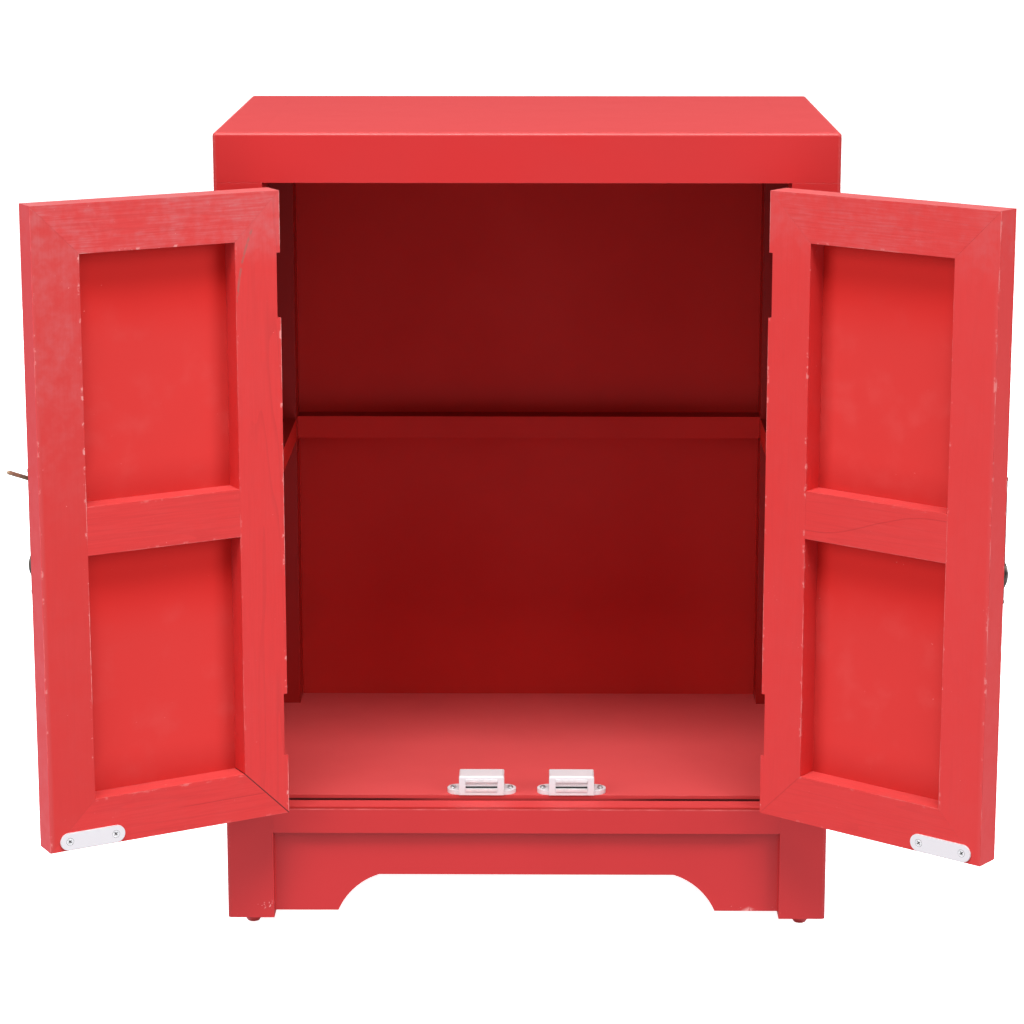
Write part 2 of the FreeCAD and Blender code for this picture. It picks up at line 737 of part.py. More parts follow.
def strike_screws(side):
    offset = STRIKE_SCREW_SPACING / 2
    face = DOOR_BACK + STRIKE_THICKNESS
    places = [V(side * CATCH_X + hand * offset, face, STRIKE_Z) for hand in (LEFT, RIGHT)]
    return [screw(place, Y_AXIS * -1) for place in places]


def pull_plate(side):
    """Half of the round plate, with a raised rim."""
    centre = V(0, FRONT, DOOR_MIDDLE)
    disc = cylinder(PLATE_RADIUS, centre, Y_AXIS * -PLATE_THICKNESS)
    rim_height = PLATE_THICKNESS + PLATE_RIM_HEIGHT
    rim = cylinder(PLATE_RADIUS, centre, Y_AXIS * -rim_height)
    rim = rim.cut(cylinder(PLATE_RADIUS - PLATE_RIM_WIDTH, centre, Y_AXIS * -rim_height))
    near = DOOR_IN + PLATE_EDGE_INSET
    keep = block(
        side * near,
        side * PLATE_RADIUS,
        FRONT,
        FRONT - rim_height,
        DOOR_MIDDLE - PLATE_RADIUS,
        DOOR_MIDDLE + PLATE_RADIUS,
    )
    return disc.fuse(rim).common(keep)


def nail():
    """A dome-headed nail, its head on Z = 0 and its shank below."""
    ball = (NAIL_HEAD_RADIUS**2 + NAIL_HEAD_HEIGHT**2) / (2 * NAIL_HEAD_HEIGHT)
    half_angle = math.asin(NAIL_HEAD_RADIUS / ball) / 2
    crown = V(0, 0, NAIL_HEAD_HEIGHT)
    rim = V(NAIL_HEAD_RADIUS, 0, 0)
    shoulder = crown + V(ball * math.sin(half_angle), 0, ball * (math.cos(half_angle) - 1))
    neck = V(NAIL_SHANK_RADIUS, 0, 0)
    end = V(NAIL_SHANK_RADIUS, 0, -NAIL_LENGTH)
    tip = V(0, 0, -NAIL_LENGTH)
    return turned(
        [
            Part.Arc(crown, shoulder, rim),
            Part.LineSegment(rim, neck),
            Part.LineSegment(neck, end),
            Part.LineSegment(end, tip),
            Part.LineSegment(tip, crown),
        ]
    )


def plate_nails(side):
    """The nails that hold the half plate, on an arc inside its rim."""
    nails = []
    for angle in NAIL_ANGLES:
        x = side * NAIL_RING_RADIUS * math.cos(math.radians(angle))
        z = DOOR_MIDDLE + NAIL_RING_RADIUS * math.sin(math.radians(angle))
        piece = nail()
        piece.rotate(V(0, 0, 0), X_AXIS, 90)
        piece.translate(V(x, PLATE_FACE, z))
        nails.append(piece)
    return nails


def eye(side, x, y, z, hole):
    """A flat-sided eye on a round foot, with a shank driven into the stile."""
    seat = V(side * x, PLATE_FACE, z)
    foot = cylinder(EYE_FOOT_RADIUS, seat, Y_AXIS * -EYE_FOOT_HEIGHT)
    shank = cylinder(EYE_SHANK_RADIUS, seat, Y_AXIS * EYE_SHANK_LENGTH)
    half = EYE_WIDTH / 2
    head_radius = hole + EYE_WALL
    start = V(side * x - half, y, z)
    head = cylinder(head_radius, start, X_AXIS * EYE_WIDTH)
    neck = block(
        start.x, start.x + EYE_WIDTH, y, PLATE_FACE, z - EYE_WALL, z + EYE_WALL
    )
    room = block(
        start.x, start.x + EYE_WIDTH, y - head_radius, PLATE_FACE, z - head_radius, z + head_radius
    )
    body = head.common(room).fuse(neck).fuse(foot).fuse(shank)
    return one_solid(body.cut(cylinder(hole, start, X_AXIS * EYE_WIDTH)))


def ring_eye(side):
    hole = RING_WIRE_RADIUS + RING_EYE_CLEARANCE
    return eye(side, RING_EYE_X, RING_EYE_Y, RING_EYE_Z, hole)


def lock_loop(side):
    hole = LOCK_PIN_RADIUS + LOCK_PIN_CLEARANCE
    return eye(side, LOCK_LOOP_X, LOCK_LOOP_Y, LOCK_LOOP_Z, hole)


def ring(side):
    centre = V(side * RING_EYE_X, RING_EYE_Y, RING_EYE_Z - RING_RADIUS)
    return Part.makeTorus(RING_RADIUS, RING_WIRE_RADIUS, centre, Y_AXIS)


def lock_pin(side):
    """The pin lies tilted in its loop, its round tip past the door's free edge."""
    knob_round = math.asin(LOCK_PIN_RADIUS / LOCK_PIN_KNOB_RADIUS)
    neck = V(LOCK_PIN_RADIUS, 0, LOCK_PIN_KNOB_RADIUS * math.cos(knob_round))
    length = LOCK_PIN_TAIL + LOCK_PIN_REACH
    shoulder = V(LOCK_PIN_RADIUS, 0, length - LOCK_PIN_RADIUS)
    slope = math.pi / 4
    tip_side = shoulder + V(math.cos(slope) - 1, 0, math.sin(slope)) * LOCK_PIN_RADIUS
    tip = V(0, 0, length)
    knob_end = V(0, 0, -LOCK_PIN_KNOB_RADIUS)
    pin = turned(
        [
            Part.Arc(knob_end, V(LOCK_PIN_KNOB_RADIUS, 0, 0), neck),
            Part.LineSegment(neck, shoulder),
            Part.Arc(shoulder, tip_side, tip),
            Part.LineSegment(tip, knob_end),
        ]
    )
    lean = 90 - LOCK_PIN_TILT
    pin.rotate(V(0, 0, 0), Y_AXIS, -side * lean)
    way = V(-side * math.sin(math.radians(lean)), 0, math.cos(math.radians(lean)))
    middle = V(side * LOCK_LOOP_X, LOCK_LOOP_Y, LOCK_LOOP_Z - LOCK_PIN_SAG)
    pin.translate(middle - way * LOCK_PIN_TAIL)
    return pin


# Assembly


def cut_all(shape, tools):
    for tool in tools:
        shape = shape.cut(tool)
    return one_solid(shape)


def carcass():
    """Every fixed piece, each cut to seat the pieces that are let into it."""
    board = top_board()
    floor = bottom_board()
    rails = top_rails(board)
    low_rails = {
        "front": bottom_rail_x(-1).cut(bottom_board_slot()),
        "back": bottom_rail_x(1),
        "left": bottom_rail_y(LEFT),
        "right": bottom_rail_y(RIGHT),
    }
    panels = {name: side_panel(side) for name, side in SIDES.items()}
    panels["back"] = back_panel()
    aprons = {name: side_apron(side) for name, side in SIDES.items()}
    aprons["front"] = front_apron()
    corners = {
        "front_left": (LEFT, -1),
        "front_right": (RIGHT, -1),
        "back_left": (LEFT, 1),
        "back_right": (RIGHT, 1),
    }
    posts = {name: post_blank(*corner) for name, corner in corners.items()}
    glides = [glide(*corner) for corner in corners.values()]

    leaves = []
    pins = []
    leaf_screws = []
    board_screws = []
    for side in SIDES.values():
        for height in HINGE_HEIGHTS:
            holes = hinge_screws(side, height, FRAME_LEAF_FACE, 1)
            leaves.append(cut_all(frame_leaf(side, height), holes))
            leaf_screws += holes
            pins.append(hinge_pin(side, height))
        board_screws += catch_screws(side)

    pieces = {"top_board": board, "bottom_board": cut_all(floor, board_screws)}
    for name, rail in rails.items():
        seated = list(posts.values()) + list(panels.values())
        pieces["top_rail_" + name] = cut_all(rail, seated)
    for name, rail in low_rails.items():
        pieces["bottom_rail_" + name] = cut_all(rail, [floor] + list(panels.values()))
    let_in = list(low_rails.values()) + list(panels.values()) + list(aprons.values())
    for name, post in posts.items():
        pieces["post_" + name] = cut_all(post, let_in + glides + leaf_screws)
    for name, panel in panels.items():
        pieces[name + "_panel"] = panel
    for name, board in aprons.items():
        pieces[name + "_apron"] = board
    for name, side in SIDES.items():
        pieces["shelf_bearer_" + name] = side_bearer(side)
        pieces["catch_housing_" + name] = catch_housing(side)
    pieces["shelf_bearer_back"] = back_bearer()
    pieces["foot_glides"] = Part.makeCompound(glides)
    pieces["catch_poles"] = Part.makeCompound(catch_poles(LEFT) + catch_poles(RIGHT))
    pieces["catch_magnets"] = Part.makeCompound([catch_magnet(LEFT), catch_magnet(RIGHT)])
    pieces["frame_hinge_leaves"] = Part.makeCompound(leaves)
    pieces["hinge_pins"] = Part.makeCompound(pins)
    pieces["frame_screws"] = Part.makeCompound(leaf_screws + board_screws)
    return pieces


def door(side):
    """Every piece that swings with one door, closed."""
    leaves = []
    edge_screws = []
    for height in HINGE_HEIGHTS:
        holes = hinge_screws(side, height, DOOR_LEAF_FACE, -1)
        leaves.append(cut_all(door_leaf(side, height), holes))
        edge_screws += holes
    face_screws = strike_screws(side)
    nails = plate_nails(side)
    eyes = [ring_eye(side), lock_loop(side)]
    members = door_frame(side)
    notches = [hinge_notch(side, height) for height in HINGE_HEIGHTS]
    let_in = notches + edge_screws + face_screws + nails + eyes
    pieces = {name: cut_all(member, let_in) for name, member in members.items()}
    for name, panel in door_panels(side).items():
        pieces[name + "_panel"] = cut_all(panel, nails)
    pieces["hinge_leaves"] = Part.makeCompound(leaves)
    pieces["screws"] = Part.makeCompound(edge_screws + face_screws)
    pieces["strike_plate"] = cut_all(strike_plate(side), face_screws)
    pieces["pull_plate"] = cut_all(pull_plate(side), nails + eyes)
    pieces["plate_nails"] = Part.makeCompound(nails)
    pieces["pull_eyes"] = Part.makeCompound(eyes)
    pieces["ring"] = ring(side)
    if side == LEFT:
        pieces["lock_pin"] = lock_pin(side)
    return pieces


def swung(shape, side):
    """A piece of a door turned about its hinge to the open pose."""
    shape.rotate(V(side * HINGE_X, HINGE_Y, 0), Z_AXIS, side * DOOR_OPEN_ANGLE[side])
    return shape


def main():
    os.makedirs("parts", exist_ok=True)
    pieces = carcass()
    for name, side in SIDES.items():
        for piece, shape in door(side).items():
            pieces[name + "_door_" + piece] = swung(shape, side)
    for node, shape in pieces.items():
        shape.exportStep("parts/" + node + ".step")


main()
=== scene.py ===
import json
import math

import bmesh
import bpy
import numpy
from mathutils import Matrix, Vector


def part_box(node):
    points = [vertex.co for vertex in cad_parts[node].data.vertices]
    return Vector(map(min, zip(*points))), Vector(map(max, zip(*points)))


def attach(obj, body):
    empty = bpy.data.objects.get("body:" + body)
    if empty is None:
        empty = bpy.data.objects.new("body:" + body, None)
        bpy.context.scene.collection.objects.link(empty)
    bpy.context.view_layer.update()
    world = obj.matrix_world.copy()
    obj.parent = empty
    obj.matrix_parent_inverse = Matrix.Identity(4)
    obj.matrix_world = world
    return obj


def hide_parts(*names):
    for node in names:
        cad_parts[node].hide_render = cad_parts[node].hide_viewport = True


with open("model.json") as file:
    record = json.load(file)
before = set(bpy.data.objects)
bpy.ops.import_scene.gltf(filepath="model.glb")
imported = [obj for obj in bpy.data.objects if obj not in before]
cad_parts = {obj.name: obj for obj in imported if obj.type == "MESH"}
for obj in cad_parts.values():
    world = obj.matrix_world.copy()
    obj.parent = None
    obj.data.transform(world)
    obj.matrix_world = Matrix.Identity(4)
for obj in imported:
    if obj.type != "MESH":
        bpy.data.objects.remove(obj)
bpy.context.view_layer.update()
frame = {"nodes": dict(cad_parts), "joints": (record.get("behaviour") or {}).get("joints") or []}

NODES = frame["nodes"]
JOINTS = {joint["name"]: joint for joint in frame["joints"]}
SIDES = ("left", "right")
MEMBERS = ("hinge_stile", "meeting_stile", "top_rail", "middle_rail", "bottom_rail")
MM = 0.001

# Colours, linear
WHITE = (1.0, 1.0, 1.0, 1.0)
BLACK = (0.0, 0.0, 0.0, 1.0)
RED = (0.53, 0.020, 0.021, 1.0)
RED_DOOR = (0.63, 0.026, 0.024, 1.0)
# Painted shade: a darker copy of the door red, for the left door's free stile
RED_STILE_SHADED = (0.575, 0.023, 0.020, 1.0)
RED_FIELD = (0.63, 0.038, 0.034, 1.0)
RED_OUTSIDE = (0.57, 0.044, 0.042, 1.0)
RED_INSIDE = (0.60, 0.025, 0.020, 1.0)
RED_BOARD = (0.55, 0.046, 0.047, 1.0)
# Painted shade, at the inner back corners and on the sill's top behind its arris
PAINTED_SHADE_RED = (0.33, 0.004, 0.002, 1.0)
RED_BACK = (0.50, 0.034, 0.035, 1.0)
# Painted shade on the bearer tops
RED_BEARER_SHADE = (0.24, 0.010, 0.008, 1.0)
RED_PALE = (0.78, 0.22, 0.21, 1.0)
# Painted shade: the deeper red of the shadow under a door panel's top rail
RED_SHADE_TINT = (0.66, 0.020, 0.016, 1.0)
# Painted light: a brighter red for upward faces
RED_TOP_LIT = (0.95, 0.16, 0.16, 1.0)
# Painted sheen on the left door's free edge face
RED_EDGE_SHEEN = (0.80, 0.062, 0.075, 1.0)
HAZE = (0.52, 0.17, 0.18, 1.0)
DUST = (0.84, 0.40, 0.40, 1.0)
RED_DARK = (0.36, 0.012, 0.012, 1.0)
WORN = (0.80, 0.36, 0.34, 1.0)
DIRT = (0.30, 0.11, 0.09, 1.0)
CRACK = (0.06, 0.004, 0.004, 1.0)
WHITE_PLASTIC = (0.70, 0.68, 0.70, 1.0)
STEEL = (0.70, 0.70, 0.71, 1.0)
STEEL_DARK = (0.45, 0.45, 0.46, 1.0)
PLATED = (0.92, 0.92, 0.92, 1.0)
PLATED_DARK = (0.80, 0.80, 0.81, 1.0)
WORN_BRASS = (0.50, 0.33, 0.20, 1.0)
FERRITE = (0.62, 0.61, 0.62, 1.0)
FERRITE_LIGHT = (0.76, 0.75, 0.76, 1.0)
# Painted shadow of a slit in the magnet
FERRITE_SLIT_SHADE = (0.012, 0.012, 0.013, 1.0)
BRASS = (0.62, 0.42, 0.17, 1.0)
BRASS_DARK = (0.40, 0.25, 0.10, 1.0)
AGED_BRASS = (0.20, 0.175, 0.155, 1.0)
AGED_BRASS_DARK = (0.070, 0.060, 0.052, 1.0)
# Painted shade in the screws' recesses
RECESS_DARK = (0.035, 0.030, 0.028, 1.0)

# Camera, at the photograph's viewing angle
CAMERA_PLACE = (0.011, -2.290, 0.815)
CAMERA_PITCH = 11.79
CAMERA_YAW = 0.49
CAMERA_LENS = 105.33
CAMERA_SHIFT = (-0.0045, -0.06)

# Studio: a bowl-shaped stage, and softboxes aimed at the cabinet, two at its sides, one above it
# and a low one behind
STAGE_FLAT_RADIUS = 6.0
STAGE_BEND = 3.0
STAGE_HEIGHT = 9.0
STAGE_STEPS = 12
STAGE_AROUND = 96
STAGE_PAINT = (0.9, 0.9, 0.9, 1.0)
MATTE = 1.0
STAGE_GLOW = 0.92
WORLD_LIGHT = 0.25
LIGHT_TARGET = (0.0, -0.1, 0.3)
SIDE_BOX_PLACE = (4.2, -2.8, 2.3)
SIDE_BOX_SIZE = (2.6, 3.2)
SIDE_BOX_POWER = 145
TOP_BOX_PLACE = (0.0, -2.3, 4.7)
TOP_BOX_SIZE = (3.2, 1.6)
TOP_BOX_POWER = 262
BACK_BOX_PLACE = (0.0, 2.8, 0.30)
BACK_BOX_SIZE = (3.2, 0.5)
BACK_BOX_POWER = 60
CARD_REACH = (1.6, 1.4, 3.0)
CARD_HOLE = (0.21, 0.14)
CARD_HEIGHT = 2.4
CARD_GLOW = 0.78
BACK_CARD_GLOW = 0.25
CARD_TINT = (0.96, 0.97, 1.07, 1.0)

# The upward part of a normal where a face starts to count as a top, and where it fully does
UPWARD = (0.7, 0.95)


class Finish:
    """A procedural material, with short calls for the nodes that its functions share."""

    def __init__(self, name, base, roughness, metallic=0.0):
        self.material = bpy.data.materials.new(name)
        self.material.use_nodes = True
        self.tree = self.material.node_tree
        self.shader = self.tree.nodes["Principled BSDF"]
        self.set("Base Color", base)
        self.set("Roughness", roughness)
        self.set("Metallic", metallic)

    def put(self, socket, value):
        """Links a socket to another one's value, or gives it a constant."""
        if isinstance(value, bpy.types.NodeSocket):
            self.tree.links.new(value, socket)
        else:
            socket.default_value = value

    def set(self, name, value):
        """An input of the shader itself."""
        self.put(self.shader.inputs[name], value)

    def node(self, kind, inputs=None, **settings):
        made = self.tree.nodes.new(kind)
        for name, value in settings.items():
            setattr(made, name, value)
        for name, value in (inputs or {}).items():
            self.put(made.inputs[name], value)
        return made

    def place(self):
        """Position on the node at rest, in metres."""
        return self.node("ShaderNodeTexCoord").outputs["Object"]

    def mapped(self, vector, scale=(1, 1, 1), location=(0, 0, 0), turn=0.0):
        inputs = {0: vector, 1: location, 2: (0, 0, turn), 3: scale}
        return self.node("ShaderNodeMapping", inputs).outputs[0]

    def split(self, vector):
        return self.node("ShaderNodeSeparateXYZ", {0: vector}).outputs[:3]

    def math(self, operation, a, b=0.0):
        return self.node("ShaderNodeMath", {0: a, 1: b}, operation=operation).outputs[0]

    def plus(self, a, b):
        return self.math("ADD", a, b)

    def minus(self, a, b):
        return self.math("SUBTRACT", a, b)

    def times(self, value, *factors):
        """A value multiplied by each of the factors."""
        for factor in factors:
            value = self.math("MULTIPLY", value, factor)
        return value

    def most(self, a, b):
        return self.math("MAXIMUM", a, b)

    def size(self, value):
        return self.math("ABSOLUTE", value)

    def noise(self, vector, scale, detail, roughness=0.5):
        inputs = {"Vector": vector, "Scale": scale, "Detail": detail, "Roughness": roughness}
        return self.node("ShaderNodeTexNoise", inputs).outputs[0]

    def ramp(self, value, start, end, low=0.0, high=1.0):
        """A smooth step from low, where value is start, to high, where it is end."""
        inputs = {0: value, 1: start, 2: end, 3: low, 4: high}
        made = self.node("ShaderNodeMapRange", inputs, interpolation_type="SMOOTHSTEP")
        return made.outputs[0]

    def ramp_from(self, base, value, start, end, low=0.0, high=1.0):
        """A ramp whose start and end are measured from a base."""
        return self.ramp(value, base + start, base + end, low, high)

    def mix(self, factor, a, b):
        """Colour a where factor is nought, and b where it is one."""
        made = self.node("ShaderNodeMix", data_type="RGBA")
        self.put(made.inputs["Factor"], factor)
        self.put(made.inputs[6], a)
        self.put(made.inputs[7], b)
        return made.outputs[2]

    def bump(self, height, strength, distance, normal=None):
        inputs = {"Strength": strength, "Distance": distance, "Height": height}
        if normal is not None:
            inputs["Normal"] = normal
        return self.node("ShaderNodeBump", inputs).outputs[0]

    def soft_edges(self, radius):
        return self.node("ShaderNodeBevel", {"Radius": radius}).outputs[0]

    def upward(self):
        """One on faces that look up, nought on the others, at rest."""
        normal = self.node("ShaderNodeTexCoord").outputs["Normal"]
        return self.ramp(self.split(normal)[2], *UPWARD)

    def nearest(self, value, low, high):
        """Distance from value to the nearer of two limits."""
        return self.math("MINIMUM", self.minus(value, low), self.minus(high, value))


def assign(name, finish):
    """Gives a CAD node its finish."""
    slots = NODES[name].data.materials
    slots.clear()
    slots.append(finish.material)


# Where the doors stand when closed


def closed_turn(side):
    """The door hinge's angle that closes the door, from its rest pose, in radians."""
    low, high = JOINTS[side + "_door_hinge"]["range_deg"]
    return math.radians(high if side == "left" else low)


def closing(side):
    """The matrix that takes a door's pieces from rest to the closed pose."""
    hinge = Vector(JOINTS[side + "_door_hinge"]["pos_m"])
    turn = Matrix.Rotation(closed_turn(side), 4, "Z")
    return Matrix.Translation(hinge) @ turn @ Matrix.Translation(-hinge)


def closed_box(side, piece):
    """Lowest and highest corner of a door piece with the door closed."""
    matrix = closing(side)
    points = [matrix @ v.co for v in NODES[side + "_door_" + piece].data.vertices]
    low = Vector([min(p[axis] for p in points) for axis in range(3)])
    high = Vector([max(p[axis] for p in points) for axis in range(3)])
    return low, high


def closed_place(finish, side):
    """Shader position on a door, as if the door were closed."""
    matrix = closing(side)
    return finish.mapped(finish.place(), location=matrix.translation, turn=closed_turn(side))


# Lacquer. Of two numbers, a smooth step starts at the first and ends at the second. With four, the
# last two are the amounts there, and otherwise those are nought and one. Lengths are in metres.

# Noises: scale, detail, and roughness where it isn't a half
DOOR_CLOUD = (62.0, 4.0, 0.6)
DOOR_MOTTLE = (170.0, 3.0)
DOOR_PATCH = (17.0, 2.0)
DOOR_FLAKES = (190.0, 3.0)
DOOR_CHIPS = (430.0, 2.0)
GRAIN_NOISE = (1.0, 2.0)
RING_NOISE = (1.0, 1.0)
FIELD_CLOUD = (38.0, 3.0)
FIELD_CHIPS = (330.0, 2.0)
CARCASS_CLOUD = (9.0, 3.0)
CARCASS_CHIPS = (520.0, 2.0)
SILL_NOISE = (60.0, 3.0)
# The part of a noise that roughness and colour follow
ROUGH_NOISE = (0.3, 0.7)

# Shifts that give each door, and each of its members, a part of the noise of its own
MEMBER_SHIFT = 10.0
SIDE_SHIFT = 3.7

# Grain pores and growth rings, with their scales across and along a member
GRAIN_SCALES = (950.0, 42.0)
GRAIN_PORES = (0.32, 0.62)
GRAIN_DEPTH = {
    "hinge_stile": 0.07,
    "meeting_stile": 0.03,
    "top_rail": 0.15,
    "middle_rail": 0.12,
    "bottom_rail": 0.12,
}
GRAIN_SHARE = {"left": 1.0, "right": 0.6}
RING_SCALES = (60.0, 3.0)
RING_COUNT = 8.0
RING_LINE = (0.72, 0.98)
RING_TONE = {"stile": 0.04, "rail": 0.12}
RING_TONE_OUTWARD = (0.160, 0.176, 0.05, 0.20)

# Haze on the inner side of the doors, by height and by distance from the cabinet's middle
HAZE_SHARES = (0.45, 0.25, 0.30)
HAZE_CLOUDS = (0.38, 0.66, 0.20, 1.08)
HAZE_TONE = 0.44
HAZE_TOP = (0.505, 0.535)
HAZE_TOP_AMOUNT = {"left": 0.88, "right": 0.40}
HAZE_FREE_OUT = (0.055, 0.030)
HAZE_FREE_HEIGHT = (0.32, 0.47)
HAZE_FREE_AMOUNT = 0.65
HAZE_LEAST = 0.10
HAZE_BORDER = (7.0 * MM, 2.5 * MM)
HAZE_BORDER_AMOUNT = {"left": 0.18, "right": 0.10}
HAZE_DEPTH = (1.0 * MM, 3.0 * MM)
STREAK_PORES = (0.40, 0.66)
STREAK_SPREAD = {"stile": 0.08, "rail": 0.35}

# Wear along the arris beside the panel, and along the door's outer arris
WEAR = {
    "left": {
        "hinge_stile": (0.20, 0.85),
        "meeting_stile": (0.90, 0.60),
        "top_rail": (0.70, 0.10),
        "middle_rail": (0.25, 0.25),
        "bottom_rail": (0.30, 0.15),
    },
    "right": {
        "hinge_stile": (0.60, 0.50),
        "meeting_stile": (0.30, 0.55),
        "top_rail": (0.30, 0.10),
        "middle_rail": (0.20, 0.20),
        "bottom_rail": (0.20, 0.15),
    },
}
WEAR_TONE = 0.8
RUB_REACH = (0.6 * MM, 0.25 * MM)
RUB_STRETCH = (0.48, 0.58)
RUB_BREAKS = (0.36, 0.56, 0.25, 1.0)
FLAKE_REACH = (2.2 * MM, 0.8 * MM)
FLAKE_SPOTS = (0.56, 0.66)
FLAKE_CLOUDS = (0.45, 0.53)
SPECK_SPOTS = (0.72, 0.76)
SPECK_CLOUDS = (0.52, 0.62, 0.0, 0.6)

# Single marks on the doors
SCUFF_FOOT = 0.4823
SCUFF_RISE = 0.0537
SCUFF_CURVE = (0.01097, 0.00163, 0.1552)
SCUFF_WIDTH = (1.3 * MM, 0.4 * MM)
SCUFF_BREAKS = (0.40, 0.56)
SCUFF_ENDS = ((0.0, 0.05), (1.0, 0.95))
SCUFF_TONE = 0.62
OPEN_GRAIN_HEIGHT = 0.1165
OPEN_GRAIN_WAVE = 1.5 * MM
OPEN_GRAIN_WIDTH = (0.5 * MM, 0.15 * MM)
OPEN_GRAIN_ENDS = ((0.095, 0.115), (0.172, 0.168))
OPEN_GRAIN_TONE = 0.5
CLIMB_OUT = (0.145, 0.050)
CLIMB_SHARES = (0.15, 0.80)
CLIMB_WAVE = 3.0 * MM
CLIMB_WIDTH = (0.6 * MM, 0.2 * MM)
CLIMB_TONE = 0.4
# Painted sheen: the left door's free edge face painted a brighter pink red
FREE_EDGE_SHEEN = (0.6 * MM, 0.2 * MM, 0.0, 0.5)
MITRE_REACH = 1.0 * MM
MITRE_LINE = (0.50 * MM, 0.15 * MM, 0.0, 0.07)
CRACK_LINE = (0.70 * MM, 0.35 * MM)
CRACK_TONE = {"left": 0.95, "right": 0.12}

# Sheen, dust and relief of the door frames
DOOR_GLOSS = 0.4
DOOR_ROUGHNESS = 0.5
DOOR_ROUGH = (0.46, 0.60)
DOOR_DUST = (0.550, 0.560, 0.08, 0.22)
RING_RELIEF = 0.4
WEAR_RELIEF = 0.6
DOOR_RELIEF = {"stile": 0.09, "rail": 0.30}
DOOR_SOFTNESS = 0.3 * MM
LACQUER_DEPTH = 0.1 * MM
CHIP_RELIEF = 0.06

# Door panels: clouds, and painted shade: a deeper red under the top rail, darker at the foot and
# beside the free stile
PANEL_LAP = 6.0 * MM
FIELD_GLOSS = 0.12
FIELD_ROUGHNESS = 0.46
FIELD_ROUGH = (0.42, 0.52)
FIELD_PALE = (0.50, 0.78, 0.0, 0.07)
# Painted shade: a deeper red under the top rail, and darker at the foot and beside the free stile
FIELD_SHADE_TINT = (0.075, 0.020)
FIELD_SHADE_FOOT = (0.030, 0.0, 0.0, 0.40)
FIELD_SHADE_SIDE = (0.018, 0.0, 0.0, 0.35)
FIELD_DEPTH = (1.0 * MM, 2.0 * MM)
FIELD_SPECKS = (0.75, 0.78)
FIELD_SPECK_CLOUDS = (0.54, 0.64, 0.0, 0.45)

# Carcass: a brighter red on upward faces as painted light, wear on the top's rim that is partly a
# painted highlight, wear on the posts, and chips at the feet
CARCASS_GLOSS = 0.5
CARCASS_TONE = (0.35, 0.75, 0.0, 0.14)
CARCASS_SATIN = (-0.04, 0.06)
CARCASS_SOFTNESS = 0.4 * MM
# Painted light: how much of the brighter red upward faces get
TOP_LIGHT_TONE = 0.20
TOP_ROUGHNESS = 0.22
# Pale along the top's rim: worn lacquer, and partly a painted highlight of the rounded arris
RIM_WEAR_HIGHLIGHT = (2.4 * MM, 1.5 * MM, 0.0, 0.10)
POST_WEAR = (2.2 * MM, 1.6 * MM)
POST_SPOTS = (0.56, 0.68, 0.0, 0.12)
FOOT_HEIGHT = (26.0 * MM, 12.0 * MM)
FOOT_SPOTS = (0.69, 0.73)
FOOT_CLOUDS = (0.48, 0.56)
FOOT_TONE = 0.6
# Each as x, height, reach, and the noise above which the lacquer is gone
FOOT_CHIPS = ((-0.194, 0.018, 0.012, 0.58), (0.168, 0.012, 0.009, 0.40))
FOOT_CHIP_FLATNESS = 2.0
FOOT_CHIP_CORE = 0.3
FOOT_CHIP_RIM = 0.04
FOOT_CHIP_TONE = 0.7
FOOT_CHIP_DEPTH = (9.0 * MM, 7.0 * MM)

# Tones laid over the carcass: painted shade at the inner back corners, the front rail's ends, the
# bearer tops, the bottom board's joint and behind the sill's arris; a pale line on the sill's arris,
# partly rubbed and partly a painted highlight; and the outer back's paler lacquer
FACE_STEP = (1.0 * MM, 0.5 * MM)
# Painted shade at the inner back corners
CORNER_SIDE = (-0.4 * MM, 0.0)
CORNER_FRONT = (0.02, 0.04)
CORNER_TOP = (0.562, 0.560, 0.0, 0.9)
# Painted shade at the lower ends of the front top rail
RAIL_END = (0.170, 0.262, 0.0, 0.50)
RAIL_END_DROP = (0.130, 0.065)
BACK_STEP = (0.0, 1.0 * MM)
# Painted shade on the bearer tops
BEARER_SHADE_TONE = 0.80
# Painted shadow in the bottom board's joint
GAP_EDGE = (0.3 * MM, 0.1 * MM)
GAP_HEIGHT = (1.0 * MM, 0.6 * MM)
GAP_ENDS = (0.05, 0.11, 0.35, 0.95)
SILL_ENDS = (0.190, 0.1897)
# Painted shade on the sill's top, just behind its front arris
SILL_TOP = (0.3 * MM, 0.1 * MM)
SILL_SHADE = (5.6 * MM, 4.6 * MM, 0.0, 0.80)
# Pale line on the sill's arris: rubbed lacquer, partly a painted highlight
SILL_LINE_DROP = (1.1 * MM, 0.7 * MM)
SILL_LINE_FACE = (0.5 * MM, 0.3 * MM)
SILL_LINE_TONE = (0.40, 0.62, 0.10, 0.36)


def stretched(finish, vector, along, scales, shift):
    """Shader position with one scale across an axis and another along it."""
    scale = [scales[0]] * 3
    scale[along] = scales[1]
    return finish.mapped(vector, scale=scale, location=(shift, shift, shift))


def rubbed(finish, side, out, height):
    """How much a spot on a door is rubbed pale, by its distance from the middle and its height."""
    amount = finish.times(finish.ramp(height, *HAZE_TOP), HAZE_TOP_AMOUNT[side])
    if side == "left":
        free = finish.times(finish.ramp(out, *HAZE_FREE_OUT), finish.ramp(height, *HAZE_FREE_HEIGHT))
        amount = finish.most(amount, finish.times(free, HAZE_FREE_AMOUNT))
    return finish.plus(amount, HAZE_LEAST)


